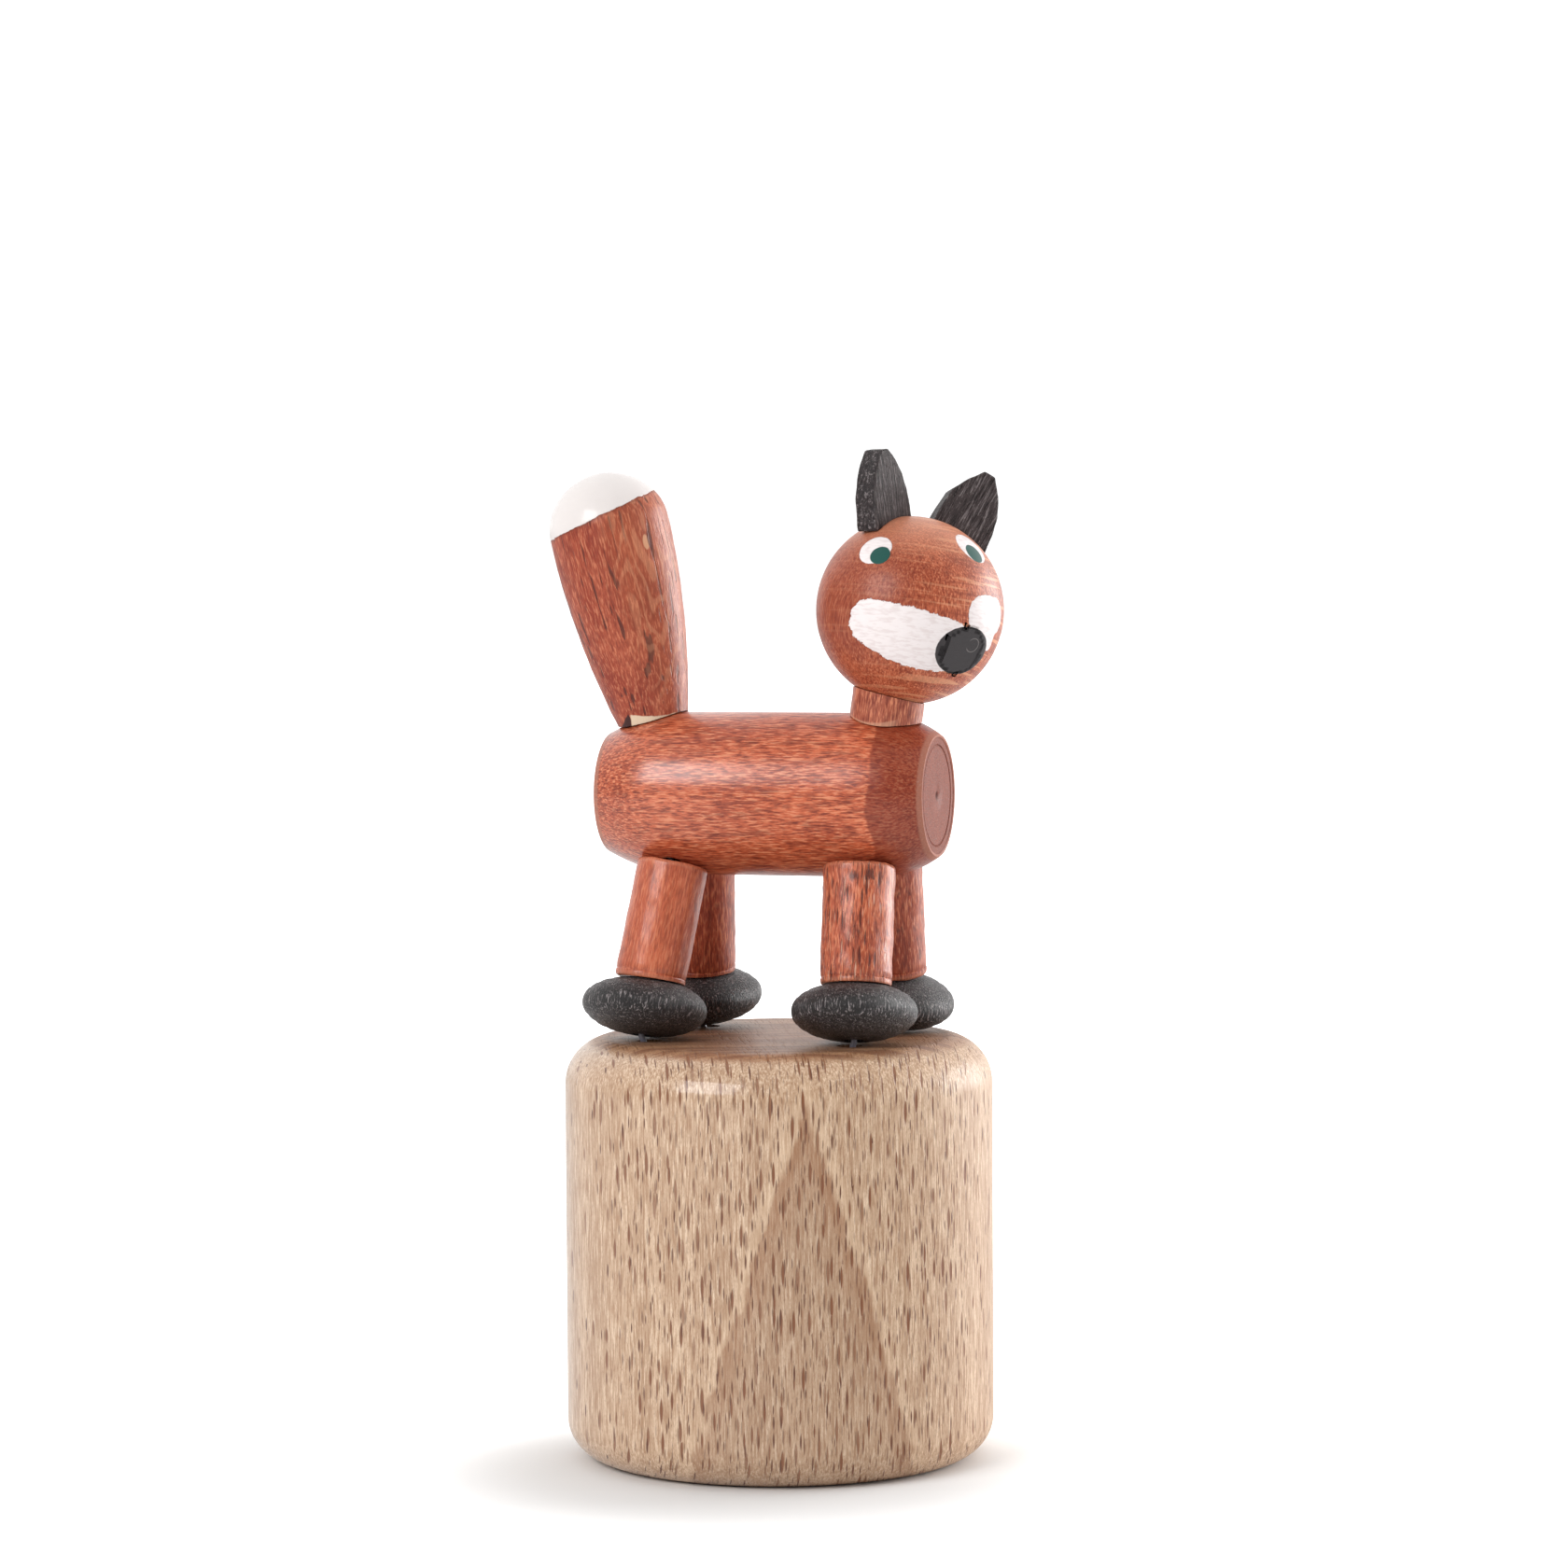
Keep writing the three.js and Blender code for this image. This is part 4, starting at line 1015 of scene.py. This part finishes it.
# %% Two ears
bpy.ops.mesh.primitive_uv_sphere_add(segments=96, ring_count=48, radius=(HEAD_RADIUS + 0.03) * MM)
head_ball = stand(bpy.context.object, HEAD_CENTRE, (1, 0.4, 0.3))
EAR_ROWS = {  # height, then the lower and the higher edge across
    "right": [(0, -2.62, 2.62), (1.4, -2.6, 2.6), (2.9, -2.42, 2.4),
              (4.3, -2.0, 1.95), (5.5, -1.3, 1.25), (6.5, -0.5, 0.42)],
    "left": [(0, -2.62, 2.62), (1.9, -2.62, 2.45), (3.6, -2.45, 2.1),
             (5.2, -1.65, 1.35), (6.5, -0.75, 0.25)],
}
# side, then in degrees: place sideways and forwards, tilt, lean and turn
EAR_STANDS = {"right": (-1, 27, -6, 18, 0, 11), "left": (1, 28.5, 5, 25.5, 3, 25)}
EAR_SINK = 0.55  # how far the uncut ear reaches into the head
for ear_side, rows in EAR_ROWS.items():
    bpy.ops.mesh.primitive_plane_add(size=MM)
    ear = bpy.context.object
    ear.name = "carved_ear_" + ear_side
    edit_all()
    bpy.ops.transform.resize(value=(2, rows[0][2] - rows[0][1], 1), center_override=(0, 0, 0))
    for (low, left, right), (high, next_left, next_right) in zip(rows, rows[1:]):
        rise = (0, (next_left + next_right - left - right) / 2 * MM, (high - low) * MM)
        bpy.ops.mesh.extrude_region_move(TRANSFORM_OT_translate={"value": rise})
        middle = (0, (next_left + next_right) / 2 * MM, high * MM)
        narrower = (next_right - next_left) / (right - left)
        bpy.ops.transform.resize(value=(0.98, narrower, 1), center_override=middle)
    end_editing()
    apply(ear, "BEVEL", width=0.13 * MM, segments=2, limit_method="ANGLE", angle_limit=radians(40))
    apply(ear, "SUBSURF", subdivision_type="SIMPLE", levels=3, render_levels=3)
    side, spread, forward, tilt, lean, toe_in = EAR_STANDS[ear_side]
    ear_foot = about("X", -side * spread) @ slope(forward, 0) * (HEAD_RADIUS - EAR_SINK)
    turn = about("X", -side * tilt) @ about("Y", lean) @ about("Z", -side * toe_in)
    settle(ear, HEAD_CENTRE + head_matrix @ ear_foot, head_matrix @ turn)
    by_hand(ear, 0.16)
    cut(ear, head_ball)
    ear_axis, front = head_matrix @ turn @ up, head_matrix @ turn @ Vector((1, 0, 0))
    wood = blackened("black_ear_" + ear_side, HEAD_CENTRE, ear_axis, 5 + side, EAR_LOOK)
    finished(ear, "head", "black_wood", wood, "ear_" + ear_side, smooth=30)
    wood = blackened("black_ear_edge_" + ear_side, HEAD_CENTRE, ear_axis, 8 + side, EAR_EDGE_LOOK)
    ear.data.materials.append(wood)
    for polygon in ear.data.polygons:  # the sawn edges show shorter fibres than the front and the back
        polygon.material_index = int(abs(polygon.normal.dot(front)) < 0.6)
put_away(head_ball)

# %% [markdown]
# ## Threads and spring
#
# Four nylon threads run from the button to the head and the tail. When the toy buckles, every bead keeps
# the stretch of thread inside it, so each stretch is a piece of its own that rides on its bead. A curve
# with a round bevel makes a thread from a drawn line. The spring is a circle drawn out by the Screw
# modifier.

# %% Nylon and steel
nylon = Finish("nylon", Roughness=0.3)
twist = nylon.noise(nylon.position(), (4, 4, 4))
nylon.set(Base_Color=nylon.mix(twist, colour(112, 108, 122), colour(146, 144, 156)))
steel = Finish("steel", Metallic=1.0, Roughness=0.3)
drawn = steel.noise(steel.position(), (2, 2, 20))
steel.set(Base_Color=steel.mix(drawn, colour(170, 172, 176), colour(200, 200, 204)))
steel.set(Roughness=0.25 + drawn * 0.15)


# %% Stretches of thread
THREAD_RADIUS, PAIR_HALF = 0.25, 0.4  # half the distance between the two threads of neck or tail
LOW_END, HIGH_END = 5.1, 34.4  # the stretch in the base, from its peg to the top of its hole


def string(name, points, body, *stands_for):
    line = draw(name, points)
    bpy.ops.object.mode_set(mode="OBJECT")
    bpy.ops.object.convert(target="CURVE")
    line.data.bevel_depth = THREAD_RADIUS * MM
    line.data.bevel_resolution = 3
    line.data.use_fill_caps = True
    bpy.ops.object.convert(target="MESH")
    line = bpy.context.object
    stand(line, (0, 0, 0))
    finished(line, body, "nylon", nylon.material, *stands_for, smooth=60)
    return line


for corner, p in places.items():
    end, side = corner.split("_")
    aside = Vector((0, PAIR_HALF if side == "left" else -PAIR_HALF, 0))
    junction = junctions[end] + aside
    below = [p.pulled_in(PEG_PULL_IN, LOW_END), p.pulled_in(PEG_PULL_IN, BUTTON_TOP + 1)]
    below += [p.pulled_in(HOLE_PULL_IN, CHAMBER_TOP - 1), p.pulled_in(HOLE_PULL_IN, HIGH_END)]
    low = string("thread_below_" + corner, below, "base", "thread_" + corner)
    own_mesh(low)
    in_foot = [p.pulled_in(HOLE_PULL_IN, HIGH_END - 0.2), p.foot_bottom, p.foot_top]
    in_foot.append(p.foot_top + p.foot_axis * 0.15)
    string("thread_in_foot_" + corner, in_foot, "foot_" + corner)
    string("thread_in_leg_" + corner, [p.leg_bottom - p.leg_axis * 0.25, p.leg_top], "leg_" + corner)
    exit_axis, exit_place = (neck_axis, neck_bottom) if end == "front" else (tail_axis, tail_bottom)
    leaving = exit_place + exit_axis * 1.5 + aside
    string("thread_in_body_" + corner, [p.leg_top, junction, leaving], "torso")
    if end == "front":
        string("thread_in_neck_" + side, [leaving, neck_top - neck_axis * 0.5 + aside], "neck")
        string("thread_in_head_" + side, [neck_top + aside, HEAD_CENTRE + aside], "head")
    else:
        string("thread_in_tail_" + side, [leaving, tail_middle + aside], "tail")

# %% The spring
SPRING_LOW, SPRING_HIGH, SPRING_TURNS = 7.2, 28.8, 7
SPRING_RADIUS, WIRE_RADIUS = 6.1, 0.4
wire = {"radius": WIRE_RADIUS * MM, "location": (SPRING_RADIUS * MM, 0, SPRING_LOW * MM)}
bpy.ops.mesh.primitive_circle_add(vertices=14, rotation=(pi / 2, 0, 0), **wire)
spring = bpy.context.object
spring.name = "wound_spring"
bpy.ops.object.transform_apply(location=True, rotation=True, scale=True)
pitch = (SPRING_HIGH - SPRING_LOW) / SPRING_TURNS * MM
apply(spring, "SCREW", steps=40, iterations=SPRING_TURNS, screw_offset=pitch, use_normal_calculate=True)
edit_all()
bpy.ops.mesh.fill_holes(sides=16)
end_editing()
finished(spring, "base", "spring_steel", steel.material, "return_spring", smooth=60)
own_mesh(spring)
